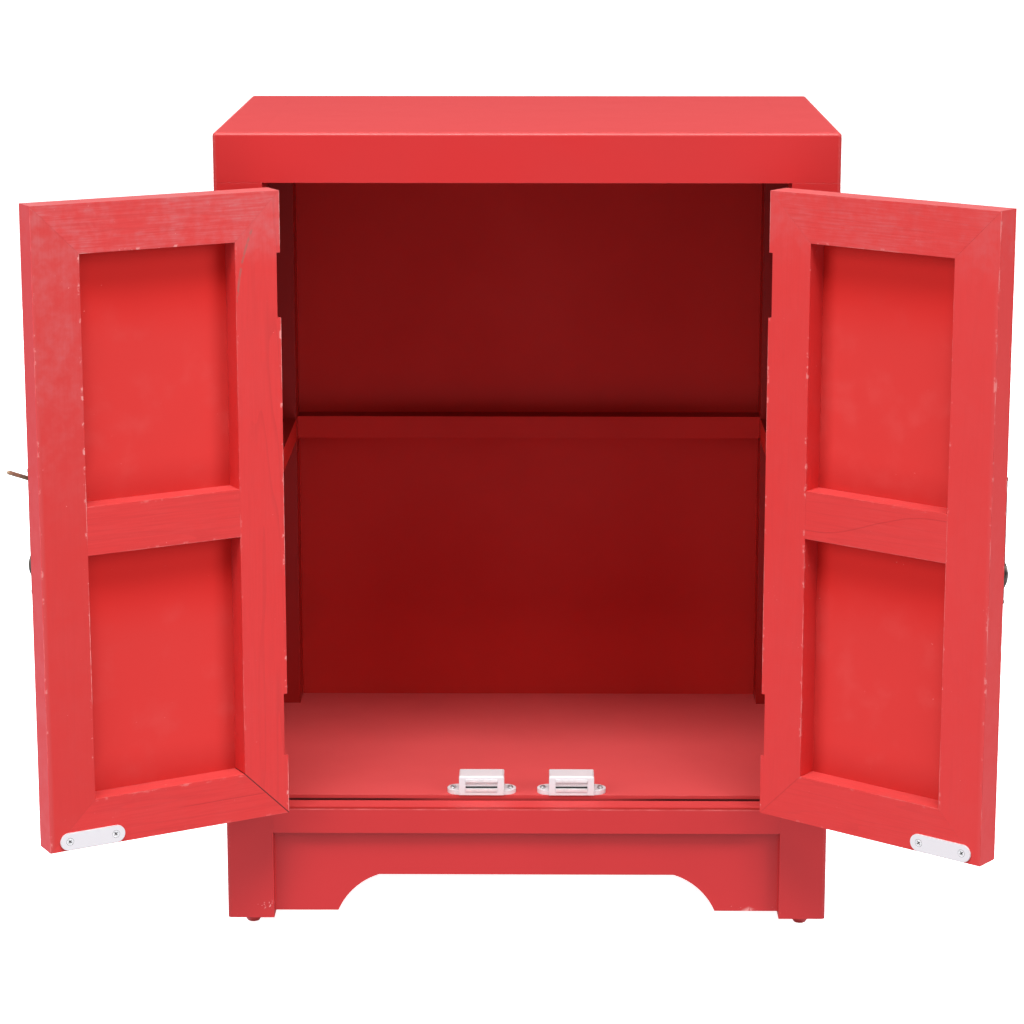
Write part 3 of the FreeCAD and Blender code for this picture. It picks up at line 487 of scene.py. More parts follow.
def door_haze(finish, side, member, axes, out, fine, clouds):
    """Cloudy haze on the rubbed parts of a door's inner side, and along its free edge."""
    cloud, mottle, patch = [finish.times(noise, share) for noise, share in zip(clouds, HAZE_SHARES)]
    haze = finish.ramp(finish.plus(finish.plus(cloud, mottle), patch), *HAZE_CLOUDS)
    spread = STREAK_SPREAD[kind_of(member)]
    streak = finish.ramp(fine, *STREAK_PORES, 1.0 - spread, 1.0 + spread)
    haze = finish.times(haze, rubbed(finish, side, out, axes[2]), streak, HAZE_TONE)
    border = finish.ramp(out, *HAZE_BORDER, 0.0, HAZE_BORDER_AMOUNT[side])
    front = closed_box(side, member)[0][1]
    return finish.times(finish.most(haze, border), finish.ramp_from(front, axes[1], *HAZE_DEPTH))


def scuff_stroke(finish, out, height, broken):
    """A curved grey scuff beside the upper hinge of the left door."""
    bend, lean, start = SCUFF_CURVE
    step = finish.math("DIVIDE", finish.minus(height, SCUFF_FOOT), SCUFF_RISE)
    curve = finish.plus(finish.times(step, bend), lean)
    curve = finish.plus(finish.times(curve, step), start)
    off = finish.size(finish.minus(out, curve))
    line = finish.times(finish.ramp(off, *SCUFF_WIDTH), finish.ramp(broken, *SCUFF_BREAKS))
    lower, upper = [finish.ramp(step, *end) for end in SCUFF_ENDS]
    return finish.times(line, lower, upper, SCUFF_TONE)


def open_grain(finish, out, height, wave):
    """One long open grain line along the bottom rail of the left door."""
    rise = finish.plus(finish.times(wave, OPEN_GRAIN_WAVE), OPEN_GRAIN_HEIGHT)
    off = finish.size(finish.minus(height, rise))
    near, far = [finish.ramp(out, *end) for end in OPEN_GRAIN_ENDS]
    return finish.times(finish.ramp(off, *OPEN_GRAIN_WIDTH), near, far, OPEN_GRAIN_TONE)


def climbing_line(finish, out, height, wave):
    """One dark grain line that climbs across the middle rail of the right door."""
    low, high = closed_box("right", "middle_rail")
    start, end = [low[2] + share * (high[2] - low[2]) for share in CLIMB_SHARES]
    rise = finish.plus(finish.ramp(out, *CLIMB_OUT, start, end), finish.times(wave, CLIMB_WAVE))
    off = finish.size(finish.minus(height, rise))
    return finish.times(finish.ramp(off, *CLIMB_WIDTH), CLIMB_TONE)


def arris_wear(finish, side, member, axes, stretch, flaked):
    """Lacquer rubbed through along a frame member's long arrises, with short flaked spots."""
    low, high = closed_box(side, member)
    across = 0 if kind_of(member) == "stile" else 2
    face = finish.nearest(axes[1], low[1], high[1])
    below = finish.minus(axes[across], low[across])
    above = finish.minus(high[across], axes[across])
    inner, outer = WEAR[side][member]
    low_inside = member in ("top_rail", "middle_rail")
    if across == 0:
        panel_low, panel_high = closed_box(side, "upper_panel")
        low_inside = low[0] + high[0] > panel_low[0] + panel_high[0]
    amounts = (inner, outer) if low_inside else (outer, inner)
    bands = []
    for gap, amount in zip((below, above), amounts):
        arris = finish.most(gap, face)
        line = finish.times(finish.ramp(arris, *RUB_REACH, 0.0, WEAR_TONE * amount), stretch)
        flake = finish.times(finish.ramp(arris, *FLAKE_REACH, 0.0, WEAR_TONE * amount), flaked)
        bands.append(finish.most(line, flake))
    return finish.most(*bands)


def mitre_lines(finish, side, axes, colour):
    """Faint lines where the mitred corners of a door meet, the lower hinge corner an open crack."""
    low, high = closed_box(side, "hinge_stile")
    near, far = closed_box(side, "meeting_stile")
    left, right = min(low[0], near[0]), max(high[0], far[0])
    sides = finish.nearest(axes[0], left, right)
    ends = finish.nearest(axes[2], low[2], high[2])
    width = high[0] - low[0]
    corner = finish.ramp(finish.most(sides, ends), width + MITRE_REACH, width)
    off = finish.size(finish.minus(sides, ends))
    line = finish.times(finish.ramp(off, *MITRE_LINE), corner)
    hinge_end = finish.math("GREATER_THAN", finish.size(axes[0]), abs(left + right) / 2)
    low_end = finish.math("LESS_THAN", axes[2], low[2] + width + MITRE_REACH)
    crack = finish.ramp(off, *CRACK_LINE, 0.0, CRACK_TONE[side])
    line = finish.most(line, finish.times(crack, corner, hinge_end, low_end))
    return finish.mix(line, colour, CRACK)


def kind_of(member):
    return "stile" if "stile" in member else "rail"


def door_wood(side, member):
    """Worn red lacquer over open grain that runs along one frame member of a door."""
    kind = kind_of(member)
    along = 2 if kind == "stile" else 0
    # Painted shade: the left door's free stile gets a darker copy of the door red
    base = RED_STILE_SHADED if (side, member) == ("left", "meeting_stile") else RED_DOOR
    finish = Finish(f"{side}_{member}_lacquer", base, DOOR_ROUGHNESS)
    finish.set("Specular IOR Level", DOOR_GLOSS)
    place = closed_place(finish, side)
    axes = finish.split(place)
    out, height = finish.size(axes[0]), axes[2]

    side_shift = SIDE_SHIFT * SIDES.index(side)
    seed = MEMBER_SHIFT * MEMBERS.index(member) + side_shift
    fine = finish.noise(stretched(finish, place, along, GRAIN_SCALES, seed), *GRAIN_NOISE)
    rings = finish.noise(stretched(finish, place, along, RING_SCALES, seed), *RING_NOISE)
    rings = finish.ramp(finish.math("FRACT", finish.times(rings, RING_COUNT)), *RING_LINE)
    shared = finish.mapped(place, location=(side_shift, 0, 0))
    cloud = finish.noise(shared, *DOOR_CLOUD)
    mottle = finish.noise(shared, *DOOR_MOTTLE)
    patch = finish.noise(shared, *DOOR_PATCH)
    own = finish.mapped(place, location=(0, seed, 0))
    flakes = finish.noise(own, *DOOR_FLAKES)
    chips = finish.noise(own, *DOOR_CHIPS)

    depth = GRAIN_DEPTH[member] * GRAIN_SHARE[side]
    colour = finish.mix(finish.ramp(fine, *GRAIN_PORES, depth, 0.0), base, RED_DARK)
    ring_tone = RING_TONE[kind]
    if (side, member) == ("left", "hinge_stile"):
        ring_tone = finish.ramp(out, *RING_TONE_OUTWARD)
    colour = finish.mix(finish.times(rings, ring_tone), colour, RED_DARK)
    haze = door_haze(finish, side, member, axes, out, fine, (cloud, mottle, patch))
    colour = finish.mix(haze, colour, HAZE)

    stretch = finish.times(finish.ramp(patch, *RUB_STRETCH), finish.ramp(mottle, *RUB_BREAKS))
    flaked = finish.times(finish.ramp(flakes, *FLAKE_SPOTS), finish.ramp(cloud, *FLAKE_CLOUDS))
    worn = arris_wear(finish, side, member, axes, stretch, flaked)
    specks = finish.times(finish.ramp(chips, *SPECK_SPOTS), finish.ramp(cloud, *SPECK_CLOUDS))
    colour = finish.mix(finish.most(worn, specks), colour, WORN)
    if side == "left" and member in ("hinge_stile", "top_rail"):
        colour = finish.mix(scuff_stroke(finish, out, height, mottle), colour, DIRT)
    if (side, member) == ("left", "bottom_rail"):
        colour = finish.mix(open_grain(finish, out, height, patch), colour, RED_DARK)
    # Painted sheen: a brighter pink red on the left door's free edge face
    if (side, member) == ("left", "meeting_stile"):
        edge = -closed_box(side, member)[1][0]
        colour = finish.mix(finish.ramp_from(edge, out, *FREE_EDGE_SHEEN), colour, RED_EDGE_SHEEN)
    if (side, member) == ("right", "middle_rail"):
        colour = finish.mix(climbing_line(finish, out, height, patch), colour, RED_DARK)
    dust = finish.times(finish.upward(), finish.ramp(height, *DOOR_DUST))
    colour = finish.mix(dust, colour, DUST)

    finish.set("Base Color", mitre_lines(finish, side, axes, colour))
    finish.set("Roughness", finish.ramp(cloud, *ROUGH_NOISE, *DOOR_ROUGH))
    relief = finish.minus(fine, finish.times(rings, RING_RELIEF))
    relief = finish.minus(relief, finish.times(worn, WEAR_RELIEF))
    soft = finish.soft_edges(DOOR_SOFTNESS)
    finish.set("Normal", finish.bump(relief, DOOR_RELIEF[kind], LACQUER_DEPTH, soft))
    return finish


def door_field(side, panel):
    """Smooth lacquer on a door's recessed panel, with faint clouds, a few specks, and painted shade: a
    deeper red under the top rail, and darker at the foot and beside the free stile.
    """
    finish = Finish(f"{side}_{panel}_panel_lacquer", RED_FIELD, FIELD_ROUGHNESS)
    finish.set("Specular IOR Level", FIELD_GLOSS)
    place = closed_place(finish, side)
    axes = finish.split(place)
    cloud = finish.noise(place, *FIELD_CLOUD)
    chips = finish.noise(place, *FIELD_CHIPS)
    low, high = closed_box(side, panel + "_panel")
    free = min(abs(low[0]), abs(high[0]))
    above = finish.minus(axes[2], low[2] + PANEL_LAP)
    beneath = finish.minus(high[2] - PANEL_LAP, axes[2])
    beside = finish.minus(finish.size(axes[0]), free + PANEL_LAP)
    colour = finish.mix(finish.ramp(cloud, *FIELD_PALE), RED_FIELD, RED_PALE)
    # Painted shade: a deeper red under the top rail
    colour = finish.mix(finish.ramp(beneath, *FIELD_SHADE_TINT), colour, RED_SHADE_TINT)
    # Painted shade: darker at the foot and beside the free stile
    painted_shade = finish.most(finish.ramp(above, *FIELD_SHADE_FOOT), finish.ramp(beside, *FIELD_SHADE_SIDE))
    colour = finish.mix(painted_shade, colour, RED_DARK)
    colour = finish.mix(finish.ramp_from(low[1], axes[1], *FIELD_DEPTH), RED_OUTSIDE, colour)
    specks = finish.times(finish.ramp(chips, *FIELD_SPECKS), finish.ramp(cloud, *FIELD_SPECK_CLOUDS))
    finish.set("Base Color", finish.mix(specks, colour, WORN))
    finish.set("Roughness", finish.ramp(cloud, *ROUGH_NOISE, *FIELD_ROUGH))
    finish.set("Normal", finish.bump(chips, CHIP_RELIEF, LACQUER_DEPTH))
    return finish


def foot_chip(finish, axes, depth, chips, spot):
    """Lacquer chipped off round one spot near the floor, close to the front or the back."""
    x, z, reach, least = spot
    aside = finish.size(finish.minus(axes[0], x))
    above = finish.size(finish.minus(axes[2], z))
    off = finish.plus(aside, finish.times(above, FOOT_CHIP_FLATNESS))
    near = finish.ramp(off, reach, FOOT_CHIP_CORE * reach)
    gone = finish.ramp(chips, least, least + FOOT_CHIP_RIM, 0.0, FOOT_CHIP_TONE)
    return finish.times(near, gone, finish.ramp(depth, *FOOT_CHIP_DEPTH))


def carcass_lacquer(name, base, roughness, gloss=CARCASS_GLOSS):
    """Sprayed satin lacquer, worn pale along the outer arrises and chipped at the feet, with a
    brighter red on upward faces as painted light; the pale along the top's rim is partly a painted
    highlight.
    """
    finish = Finish(name, base, roughness)
    finish.set("Specular IOR Level", gloss)
    place = finish.place()
    axes = finish.split(place)
    cloud = finish.noise(place, *CARCASS_CLOUD)
    chips = finish.noise(place, *CARCASS_CHIPS)
    left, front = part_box("top_rail_front")[0][:2]
    right, back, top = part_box("top_rail_back")[1]
    across = finish.nearest(axes[0], left, right)
    depth = finish.nearest(axes[1], front, back)
    drop = finish.minus(top, axes[2])
    rim = finish.plus(drop, finish.math("MINIMUM", across, depth))
    corner = finish.plus(across, depth)
    colour = finish.mix(finish.ramp(cloud, *CARCASS_TONE), base, RED_DARK)
    post = finish.times(finish.ramp(chips, *POST_SPOTS), finish.ramp(corner, *POST_WEAR))
    # The pale along the top's rim is worn lacquer and partly a painted highlight
    pale = finish.most(finish.ramp(rim, *RIM_WEAR_HIGHLIGHT), post)
    foot = finish.times(finish.ramp(chips, *FOOT_SPOTS), finish.ramp(cloud, *FOOT_CLOUDS))
    pale = finish.most(pale, finish.times(foot, finish.ramp(axes[2], *FOOT_HEIGHT), FOOT_TONE))
    for spot in FOOT_CHIPS:
        pale = finish.most(pale, foot_chip(finish, axes, depth, chips, spot))
    upward = finish.upward()
    # Painted light: upward faces get a brighter red
    colour = finish.mix(finish.times(upward, TOP_LIGHT_TONE), colour, RED_TOP_LIT)
    finish.set("Base Color", finish.mix(pale, colour, WORN))
    smooth, rough = [roughness + more for more in CARCASS_SATIN]
    satin = finish.ramp(cloud, *ROUGH_NOISE, smooth, rough)
    finish.set("Roughness", finish.plus(satin, finish.times(upward, TOP_ROUGHNESS)))
    soft = finish.soft_edges(CARCASS_SOFTNESS)
    finish.set("Normal", finish.bump(chips, CHIP_RELIEF, LACQUER_DEPTH, soft))
    return finish


def lay_over(finish, factor, colour):
    """One more colour on top of a finish's base colour."""
    under = finish.shader.inputs["Base Color"].links[0].from_socket
    finish.set("Base Color", finish.mix(factor, under, colour))


def shaded_back_corners(finish):
    """Painted shade on the posts' faces inside, at the back corners: a deeper red laid over the
    lacquer.
    """
    axes = finish.split(finish.place())
    left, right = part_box("left_panel")[1][0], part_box("right_panel")[0][0]
    within = finish.ramp(finish.nearest(axes[0], left, right), *CORNER_SIDE)
    behind = finish.ramp(axes[1], *CORNER_FRONT)
    before = finish.ramp_from(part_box("back_panel")[0][1], axes[1], *FACE_STEP)
    under = finish.ramp(axes[2], *CORNER_TOP)
    lay_over(finish, finish.times(within, behind, before, under), PAINTED_SHADE_RED)


def shaded_rail_ends(finish):
    """Painted shade: a darker red towards the lower ends of the front top rail."""
    low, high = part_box("top_rail_front")
    axes = finish.split(finish.place())
    front = finish.ramp_from(low[1], axes[1], *FACE_STEP)
    drop = finish.minus(high[2], axes[2])
    end = finish.ramp(finish.plus(finish.size(axes[0]), drop), *RAIL_END)
    lay_over(finish, finish.times(end, front, finish.ramp(drop, *RAIL_END_DROP)), RED_DARK)


def outer_back(finish):
    """Paler lacquer on the outer face of the back panel."""
    low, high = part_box("back_panel")
    depth = finish.split(finish.place())[1]
    lay_over(finish, finish.ramp_from((low[1] + high[1]) / 2, depth, *BACK_STEP), RED_BACK)


def shaded_bearer_tops(finish):
    """Painted shade: a darker red on the upward faces of the bearers."""
    lay_over(finish, finish.times(finish.upward(), BEARER_SHADE_TONE), RED_BEARER_SHADE)


def shadow_gap(finish):
    """Painted shadow in the joint at the foot of the bottom board's front edge, fainter in the middle
    and darker towards both ends, where the joint is open.
    """
    axes = finish.split(finish.place())
    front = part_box("bottom_board")[0][1]
    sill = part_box("bottom_rail_front")[1][2]
    edge = finish.ramp(finish.minus(axes[1], front), *GAP_EDGE)
    foot = finish.ramp_from(sill, axes[2], *GAP_HEIGHT)
    open_ends = finish.ramp(finish.size(axes[0]), *GAP_ENDS)
    lay_over(finish, finish.times(edge, foot, open_ends), CRACK)


def sill_arris(finish):
    """A broken pale line along the sill's front arris, partly rubbed lacquer and partly a painted
    highlight, with painted shade on the sill's top just behind it.
    """
    low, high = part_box("bottom_rail_front")
    place = finish.place()
    axes = finish.split(place)
    between = finish.ramp(finish.size(axes[0]), *SILL_ENDS)
    drop = finish.size(finish.minus(high[2], axes[2]))
    back = finish.size(finish.minus(axes[1], low[1]))
    # Painted shade on the sill's top, just behind its front arris
    shade = finish.times(finish.ramp(back, *SILL_SHADE), finish.ramp(drop, *SILL_TOP), between)
    lay_over(finish, shade, PAINTED_SHADE_RED)
    along = finish.noise(finish.mapped(place, scale=(1.0, 0.0, 0.0)), *SILL_NOISE)
    # Pale line on the arris: rubbed, and partly a painted highlight
    line = finish.times(finish.ramp(drop, *SILL_LINE_DROP), finish.ramp(back, *SILL_LINE_FACE))
    line = finish.times(line, finish.ramp(along, *SILL_LINE_TONE), between)
    lay_over(finish, line, RED_PALE)


# Plastic and metal

PLASTIC_PORES = (900.0, 2.0)
PLASTIC_ROUGHNESS = 0.28
PLASTIC_ROUGH = (0.28, 0.33)
PLASTIC_RELIEF = 0.01
PLASTIC_SOFTNESS = 0.5 * MM
FINE_DEPTH = 0.05 * MM
METAL_BRUSH = (300.0, 2.0)
METAL_BRUSH_STRETCH = (1.0, 1.0, 14.0)
METAL_PATCH = (240.0, 4.0)
METAL_PATCHES = (0.34, 0.74)
METAL_ROUGH = (-0.06, 0.14)
METAL_RELIEF = 0.12
METAL_SOFTNESS = 0.25 * MM
FERRITE_GRAIN = (1500.0, 2.0)
FERRITE_ROUGHNESS = 0.55
FERRITE_ROUGH = (0.45, 0.7)
# Share of the magnet's height given to the painted shadow of the slit
FERRITE_SLIT_SHARE = (0.26, 0.18)
RECESS_NOISE = (1800.0, 2.0)
RECESS_ROUGHNESS = 0.6
RECESS_ROUGH = (0.5, 0.75)
RECESS_METALLIC = 0.3


def moulded_plastic():
    """White plastic with a fine moulded texture."""
    finish = Finish("white_plastic", WHITE_PLASTIC, PLASTIC_ROUGHNESS)
    pores = finish.noise(finish.place(), *PLASTIC_PORES)
    finish.set("Roughness", finish.ramp(pores, *ROUGH_NOISE, *PLASTIC_ROUGH))
    soft = finish.soft_edges(PLASTIC_SOFTNESS)
    finish.set("Normal", finish.bump(pores, PLASTIC_RELIEF, FINE_DEPTH, soft))
    return finish


def brushed_metal(name, colour, dark, roughness, metallic=1.0):
    """Metal with fine brush marks and darker, duller patches."""
    finish = Finish(name, colour, roughness, metallic)
    place = finish.place()
    brush = finish.noise(finish.mapped(place, scale=METAL_BRUSH_STRETCH), *METAL_BRUSH)
    patch = finish.noise(place, *METAL_PATCH)
    finish.set("Base Color", finish.mix(finish.ramp(patch, *METAL_PATCHES), colour, dark))
    smooth, rough = [roughness + more for more in METAL_ROUGH]
    finish.set("Roughness", finish.ramp(patch, *ROUGH_NOISE, smooth, rough))
    soft = finish.soft_edges(METAL_SOFTNESS)
    finish.set("Normal", finish.bump(brush, METAL_RELIEF, FINE_DEPTH, soft))
    return finish


def ferrite():
    """Pale grey magnet face with a painted shadow of a slit along its foot."""
    low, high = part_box("catch_magnets")
    finish = Finish("ferrite", FERRITE, FERRITE_ROUGHNESS)
    place = finish.place()
    share = finish.ramp(finish.split(place)[2], low[2], high[2])
    grain = finish.noise(place, *FERRITE_GRAIN)
    face = finish.mix(finish.ramp(grain, *ROUGH_NOISE), FERRITE, FERRITE_LIGHT)
    # Painted shadow of a slit along the magnet's foot
    slit_shade = finish.ramp(share, *FERRITE_SLIT_SHARE)
    finish.set("Base Color", finish.mix(slit_shade, face, FERRITE_SLIT_SHADE))
    finish.set("Roughness", finish.ramp(grain, *ROUGH_NOISE, *FERRITE_ROUGH))
    return finish


def shaded_recess_metal():
    """Dark, dull metal that paints shade into the recesses of the screws."""
    finish = Finish("screw_recess", RECESS_DARK, RECESS_ROUGHNESS, RECESS_METALLIC)
    speckle = finish.noise(finish.place(), *RECESS_NOISE)
    finish.set("Roughness", finish.ramp(speckle, *ROUGH_NOISE, *RECESS_ROUGH))
    return finish


def dress():
    """Every CAD node gets its finish. Returns the metals that the cross screws are made of."""
    outside = carcass_lacquer("carcass_lacquer", RED, roughness=0.40)
    shaded_back_corners(outside)
    sill_arris(outside)
    shaded_rail_ends(outside)
    inside = carcass_lacquer("inside_lacquer", RED_INSIDE, roughness=0.55, gloss=0.18)
    outer_back(inside)
    shaded_bearer_tops(inside)
    board = carcass_lacquer("board_lacquer", RED_BOARD, roughness=0.42)
    shadow_gap(board)
    plastic = moulded_plastic()
    steel = brushed_metal("steel", STEEL, STEEL_DARK, roughness=0.30)
    brass = brushed_metal("brass", BRASS, BRASS_DARK, roughness=0.34)
    aged = brushed_metal("aged_brass", AGED_BRASS, AGED_BRASS_DARK, roughness=0.44)
    plated = brushed_metal("plated_steel", PLATED, PLATED_DARK, roughness=0.45, metallic=0.5)
    rod = brushed_metal("worn_brass", WORN_BRASS, AGED_BRASS, roughness=0.42, metallic=0.7)
    by_word = {
        "catch_housing": plastic,
        "strike_plate": plastic,
        "screws": steel,
        "poles": plated,
        "magnets": ferrite(),
        "hinge_leaves": brass,
        "hinge_pins": brass,
        "pull_plate": aged,
        "plate_nails": aged,
        "pull_eyes": aged,
        "door_ring": aged,
        "lock_pin": rod,
        "bottom_board": board,
        "back_panel": inside,
        "shelf_bearer": inside,
    }
    for name in NODES:
        found = [finish for word, finish in by_word.items() if word in name]
        assign(name, found[0] if found else outside)
    for side in SIDES:
        for member in MEMBERS:
            assign(f"{side}_door_{member}", door_wood(side, member))
        for panel in ("upper", "lower"):
            assign(f"{side}_door_{panel}_panel", door_field(side, panel))
    return steel, plated


# Screws with a cross recess, in the places of the CAD screws. Its reach and width are in head radii

SCREW_SEGMENTS = 40
RECESS_RINGS = 14
CROSS_REACH = 0.70
CROSS_WIDTH = 0.16
CROSS_DEPTH = 0.9 * MM
CROSS_TAPER = 0.5
RECESS_LEAST = 0.1 * MM
WELD_DISTANCE = 1e-6
DEPTH_DIGITS = 5


def islands(node):
    """The corners of each separate solid in a CAD node."""
    shape = bmesh.new()
    shape.from_mesh(node.data)
    bmesh.ops.remove_doubles(shape, verts=shape.verts, dist=WELD_DISTANCE)
    left = set(shape.verts)
    groups = []
    while left:
        queue = [min(left, key=lambda vert: vert.index)]
        left.discard(queue[0])
        group = []
        while queue:
            vert = queue.pop()
            group.append(vert.co.copy())
            for edge in vert.link_edges:
                other = edge.other_vert(vert)
                if other in left:
                    left.discard(other)
                    queue.append(other)
        groups.append(group)
    shape.free()
    return groups


def measured(points):
    """A screw's head middle, its direction to the tip, and its rings as (depth, radius)."""
    cloud = numpy.array([tuple(point) for point in points])
    middle = cloud.mean(axis=0)
    way = Vector(numpy.linalg.eigh(numpy.cov((cloud - middle).T))[1][:, 2])
    middle = Vector(middle)
    rings = {}
    for point in points:
        depth = (point - middle).dot(way)
        radius = (point - middle - way * depth).length
        rings.setdefault(round(depth, DEPTH_DIGITS), []).append(radius)
    ends = sorted(rings)
    if max(rings[ends[0]]) < max(rings[ends[-1]]):
        way = -way
        rings = {-depth: radii for depth, radii in rings.items()}
        ends = sorted(rings)
    head = middle + way * ends[0]
    return head, way, [(depth - ends[0], max(rings[depth])) for depth in ends]


def cross_depth(u, v):
    """Depth of the cross recess at a spot on the head, whose place is given in head radii."""
    arm = max(abs(u), abs(v))
    off = min(abs(u), abs(v))
    if arm > CROSS_REACH or off > CROSS_WIDTH:
        return 0.0
    return CROSS_DEPTH * (1.0 - CROSS_TAPER * arm / CROSS_REACH)


def screw_mesh(verts, faces, shaded, points):
    """Adds a turned screw's corners and faces, and whether each face gets painted shade, as in recess
    and rim.
    """
    head, way, rings = measured(points)
    side = way.orthogonal().normalized()
    other = way.cross(side)
    shank = rings[-1][1]
    outline = [(0.0, rings[0][1])] + rings[1:]
    if rings[1][1] > shank:
        outline.insert(2, (rings[1][0], shank))
    start = len(verts)
    verts.append(head + way * CROSS_DEPTH)
    loops = [(ring / RECESS_RINGS, None) for ring in range(1, RECESS_RINGS + 1)]
    loops += [(radius, depth) for depth, radius in outline[1:]]
    for size, depth in loops:
        for index in range(SCREW_SEGMENTS):
            turn = 2 * math.pi * index / SCREW_SEGMENTS
            u, v = size * math.cos(turn), size * math.sin(turn)
            if depth is None:
                sink = cross_depth(u, v)
                u, v = u * rings[0][1], v * rings[0][1]
            else:
                sink = depth
            verts.append(head + side * u + other * v + way * sink)
    first = start + 1
    made = len(faces)
    for index in range(SCREW_SEGMENTS):
        faces.append((start, first + (index + 1) % SCREW_SEGMENTS, first + index))
    for loop in range(len(loops) - 1):
        low = first + loop * SCREW_SEGMENTS
        high = low + SCREW_SEGMENTS
        for index in range(SCREW_SEGMENTS):
            after = (index + 1) % SCREW_SEGMENTS
            faces.append((low + index, low + after, high + after, high + index))
    last = first + (len(loops) - 1) * SCREW_SEGMENTS
    faces.append(tuple(range(last, last + SCREW_SEGMENTS)))
    rim = first + (RECESS_RINGS - 1) * SCREW_SEGMENTS
    # Faces in the cross recess and on the head's rim get painted shade
    for face in faces[made:]:
        depths = [(verts[corner] - head).dot(way) for corner in face]
        in_recess = max(face) < rim and min(depths) > RECESS_LEAST
        on_rim = rim <= max(face) < rim + SCREW_SEGMENTS
        shaded.append(in_recess or on_rim)


def cross_screws(node, body, metal, dark):
    """Screws of their own mesh in the place of a CAD node's plain ones."""
    verts, faces, shaded = [], [], []
    for points in islands(NODES[node]):
        screw_mesh(verts, faces, shaded, points)
    name = node.replace("screws", "cross_screws")
    mesh = bpy.data.meshes.new(name)
    mesh.from_pydata(verts, [], faces)
    mesh.materials.append(metal.material)
    mesh.materials.append(dark.material)
    mesh.polygons.foreach_set("material_index", [int(dark_face) for dark_face in shaded])
    shape = bmesh.new()
    shape.from_mesh(mesh)
    bmesh.ops.recalc_face_normals(shape, faces=shape.faces)
    shape.to_mesh(mesh)
    shape.free()
    piece = bpy.data.objects.new(name, mesh)
    bpy.context.scene.collection.objects.link(piece)
    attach(piece, body)
    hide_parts(node)


# Studio


def stage_bowl():
    """A round pale floor that bends up into a wall far away, on every side."""
    profile = [(STAGE_FLAT_RADIUS, 0.0)]
    for step in range(1, STAGE_STEPS + 1):
        turn = math.pi / 2 * step / STAGE_STEPS
        out = STAGE_FLAT_RADIUS + STAGE_BEND * math.sin(turn)
        profile.append((out, STAGE_BEND * (1 - math.cos(turn))))
    profile.append((STAGE_FLAT_RADIUS + STAGE_BEND, STAGE_HEIGHT))
    verts = []
    for radius, height in profile:
        for index in range(STAGE_AROUND):
            turn = 2 * math.pi * index / STAGE_AROUND
            verts.append((radius * math.cos(turn), radius * math.sin(turn), height))
    faces = [list(range(STAGE_AROUND))]
    for ring in range(len(profile) - 1):
        low = ring * STAGE_AROUND
        high = low + STAGE_AROUND
        for index in range(STAGE_AROUND):
            after = (index + 1) % STAGE_AROUND
            faces.append([low + index, high + index, high + after, low + after])
    mesh = bpy.data.meshes.new("stage_floor")
    mesh.from_pydata(verts, [], faces)
    mesh.shade_smooth()
    paint = Finish("stage_paint", STAGE_PAINT, MATTE)
    paint.set("Emission Color", WHITE)
    paint.set("Emission Strength", STAGE_GLOW)
    paint.set("Specular IOR Level", 0.0)
    mesh.materials.append(paint.material)
    stage = bpy.data.objects.new("stage_floor", mesh)
    bpy.context.scene.collection.objects.link(stage)
    stage.visible_diffuse = False
    stage.visible_glossy = False
    stage.visible_shadow = False


def bounce_card(name, verts, faces, glow):
    """White paper that lights the cabinet and shows in its gloss, but isn't in the picture."""
    mesh = bpy.data.meshes.new(name)
    mesh.from_pydata(verts, [], faces)
    paper = Finish(name, BLACK, MATTE)
    paper.set("Emission Color", CARD_TINT)
    paper.set("Emission Strength", glow)
    paper.set("Specular IOR Level", 0.0)
    mesh.materials.append(paper.material)
    card = bpy.data.objects.new(name, mesh)
    bpy.context.scene.collection.objects.link(card)
    card.visible_camera = False
    card.visible_shadow = False


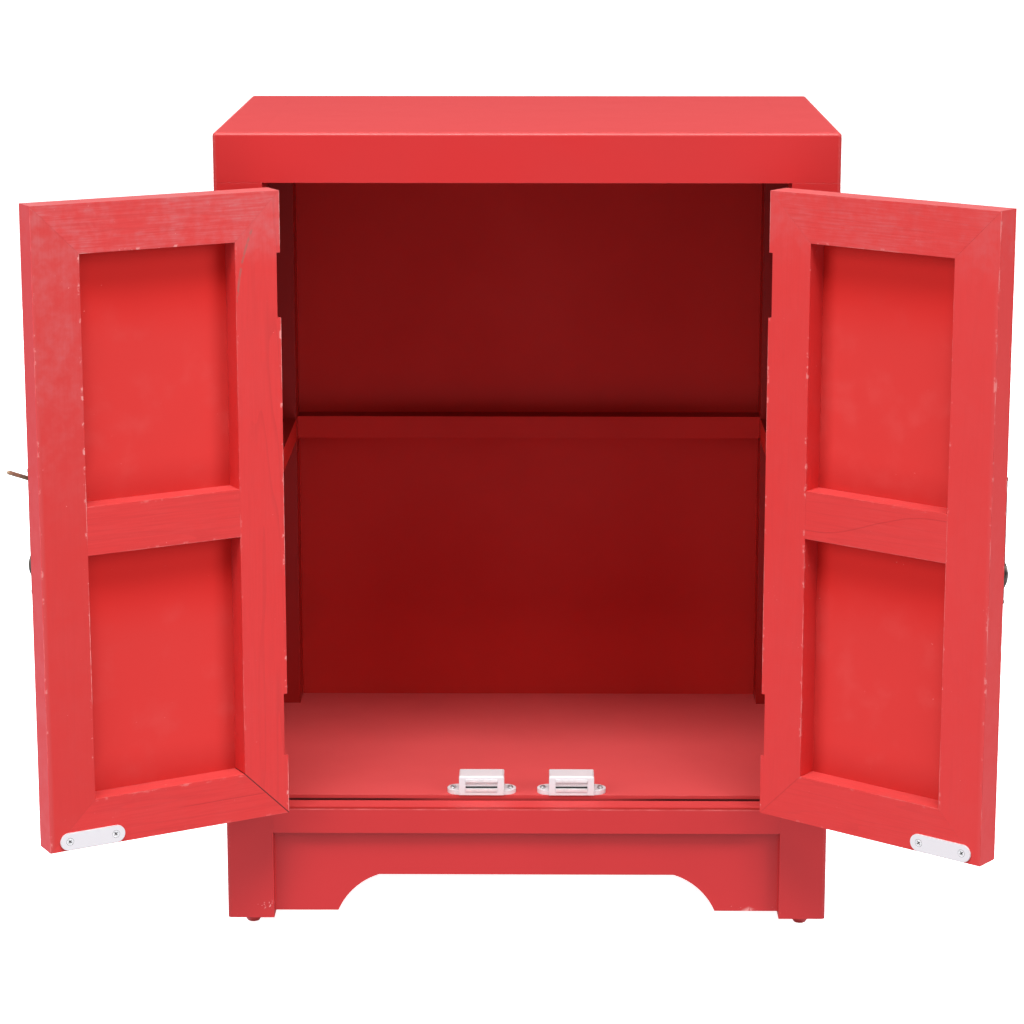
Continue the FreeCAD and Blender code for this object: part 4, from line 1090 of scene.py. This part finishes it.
def bounce_cards():
    """Paper on the floor round the cabinet, and a wall of it behind."""
    wide, near, far = CARD_REACH
    x, y = CARD_HOLE
    outer = [(-wide, -near, 0), (wide, -near, 0), (wide, far, 0), (-wide, far, 0)]
    inner = [(-x, -y, 0), (x, -y, 0), (x, y, 0), (-x, y, 0)]
    ring = [(0, 1, 5, 4), (1, 2, 6, 5), (2, 3, 7, 6), (3, 0, 4, 7)]
    bounce_card("floor_card", outer + inner, ring, CARD_GLOW)
    top = [(wide, far, CARD_HEIGHT), (-wide, far, CARD_HEIGHT)]
    bounce_card("back_card", outer[2:] + top, [(0, 2, 3, 1)], BACK_CARD_GLOW)


def softbox(name, place, size, power):
    """A rectangular lamp that looks at the cabinet and isn't in the picture."""
    light = bpy.data.lights.new(name, "AREA")
    light.shape = "RECTANGLE"
    light.size, light.size_y = size
    light.energy = power
    lamp = bpy.data.objects.new(name, light)
    lamp.location = place
    way = Vector(LIGHT_TARGET) - Vector(place)
    lamp.rotation_euler = way.to_track_quat("-Z", "Y").to_euler()
    lamp.visible_camera = False
    bpy.context.scene.collection.objects.link(lamp)


def studio():
    """Stage, paper, lights and world."""
    stage_bowl()
    bounce_cards()
    world = bpy.data.worlds.new("studio_world")
    world.use_nodes = True
    background = world.node_tree.nodes["Background"]
    background.inputs["Color"].default_value = WHITE
    background.inputs["Strength"].default_value = WORLD_LIGHT
    bpy.context.scene.world = world
    x, y, z = SIDE_BOX_PLACE
    softbox("softbox_left", (-x, y, z), SIDE_BOX_SIZE, SIDE_BOX_POWER)
    softbox("softbox_right", (x, y, z), SIDE_BOX_SIZE, SIDE_BOX_POWER)
    softbox("softbox_top", TOP_BOX_PLACE, TOP_BOX_SIZE, TOP_BOX_POWER)
    softbox("softbox_back", BACK_BOX_PLACE, BACK_BOX_SIZE, BACK_BOX_POWER)
    bpy.context.scene.view_settings.view_transform = "Standard"


def camera():
    """The camera of the photograph's view."""
    data = bpy.data.cameras.new("camera")
    data.lens = CAMERA_LENS
    data.shift_x, data.shift_y = CAMERA_SHIFT
    eye = bpy.data.objects.new("camera", data)
    eye.location = CAMERA_PLACE
    eye.rotation_euler = (math.radians(90 - CAMERA_PITCH), 0, math.radians(CAMERA_YAW))
    bpy.context.scene.collection.objects.link(eye)
    bpy.context.scene.camera = eye


screw_steel, plated_steel = dress()
recess = shaded_recess_metal()
cross_screws("left_door_screws", "left_door", plated_steel, recess)
cross_screws("right_door_screws", "right_door", plated_steel, recess)
cross_screws("frame_screws", "cabinet", screw_steel, recess)
studio()
camera()
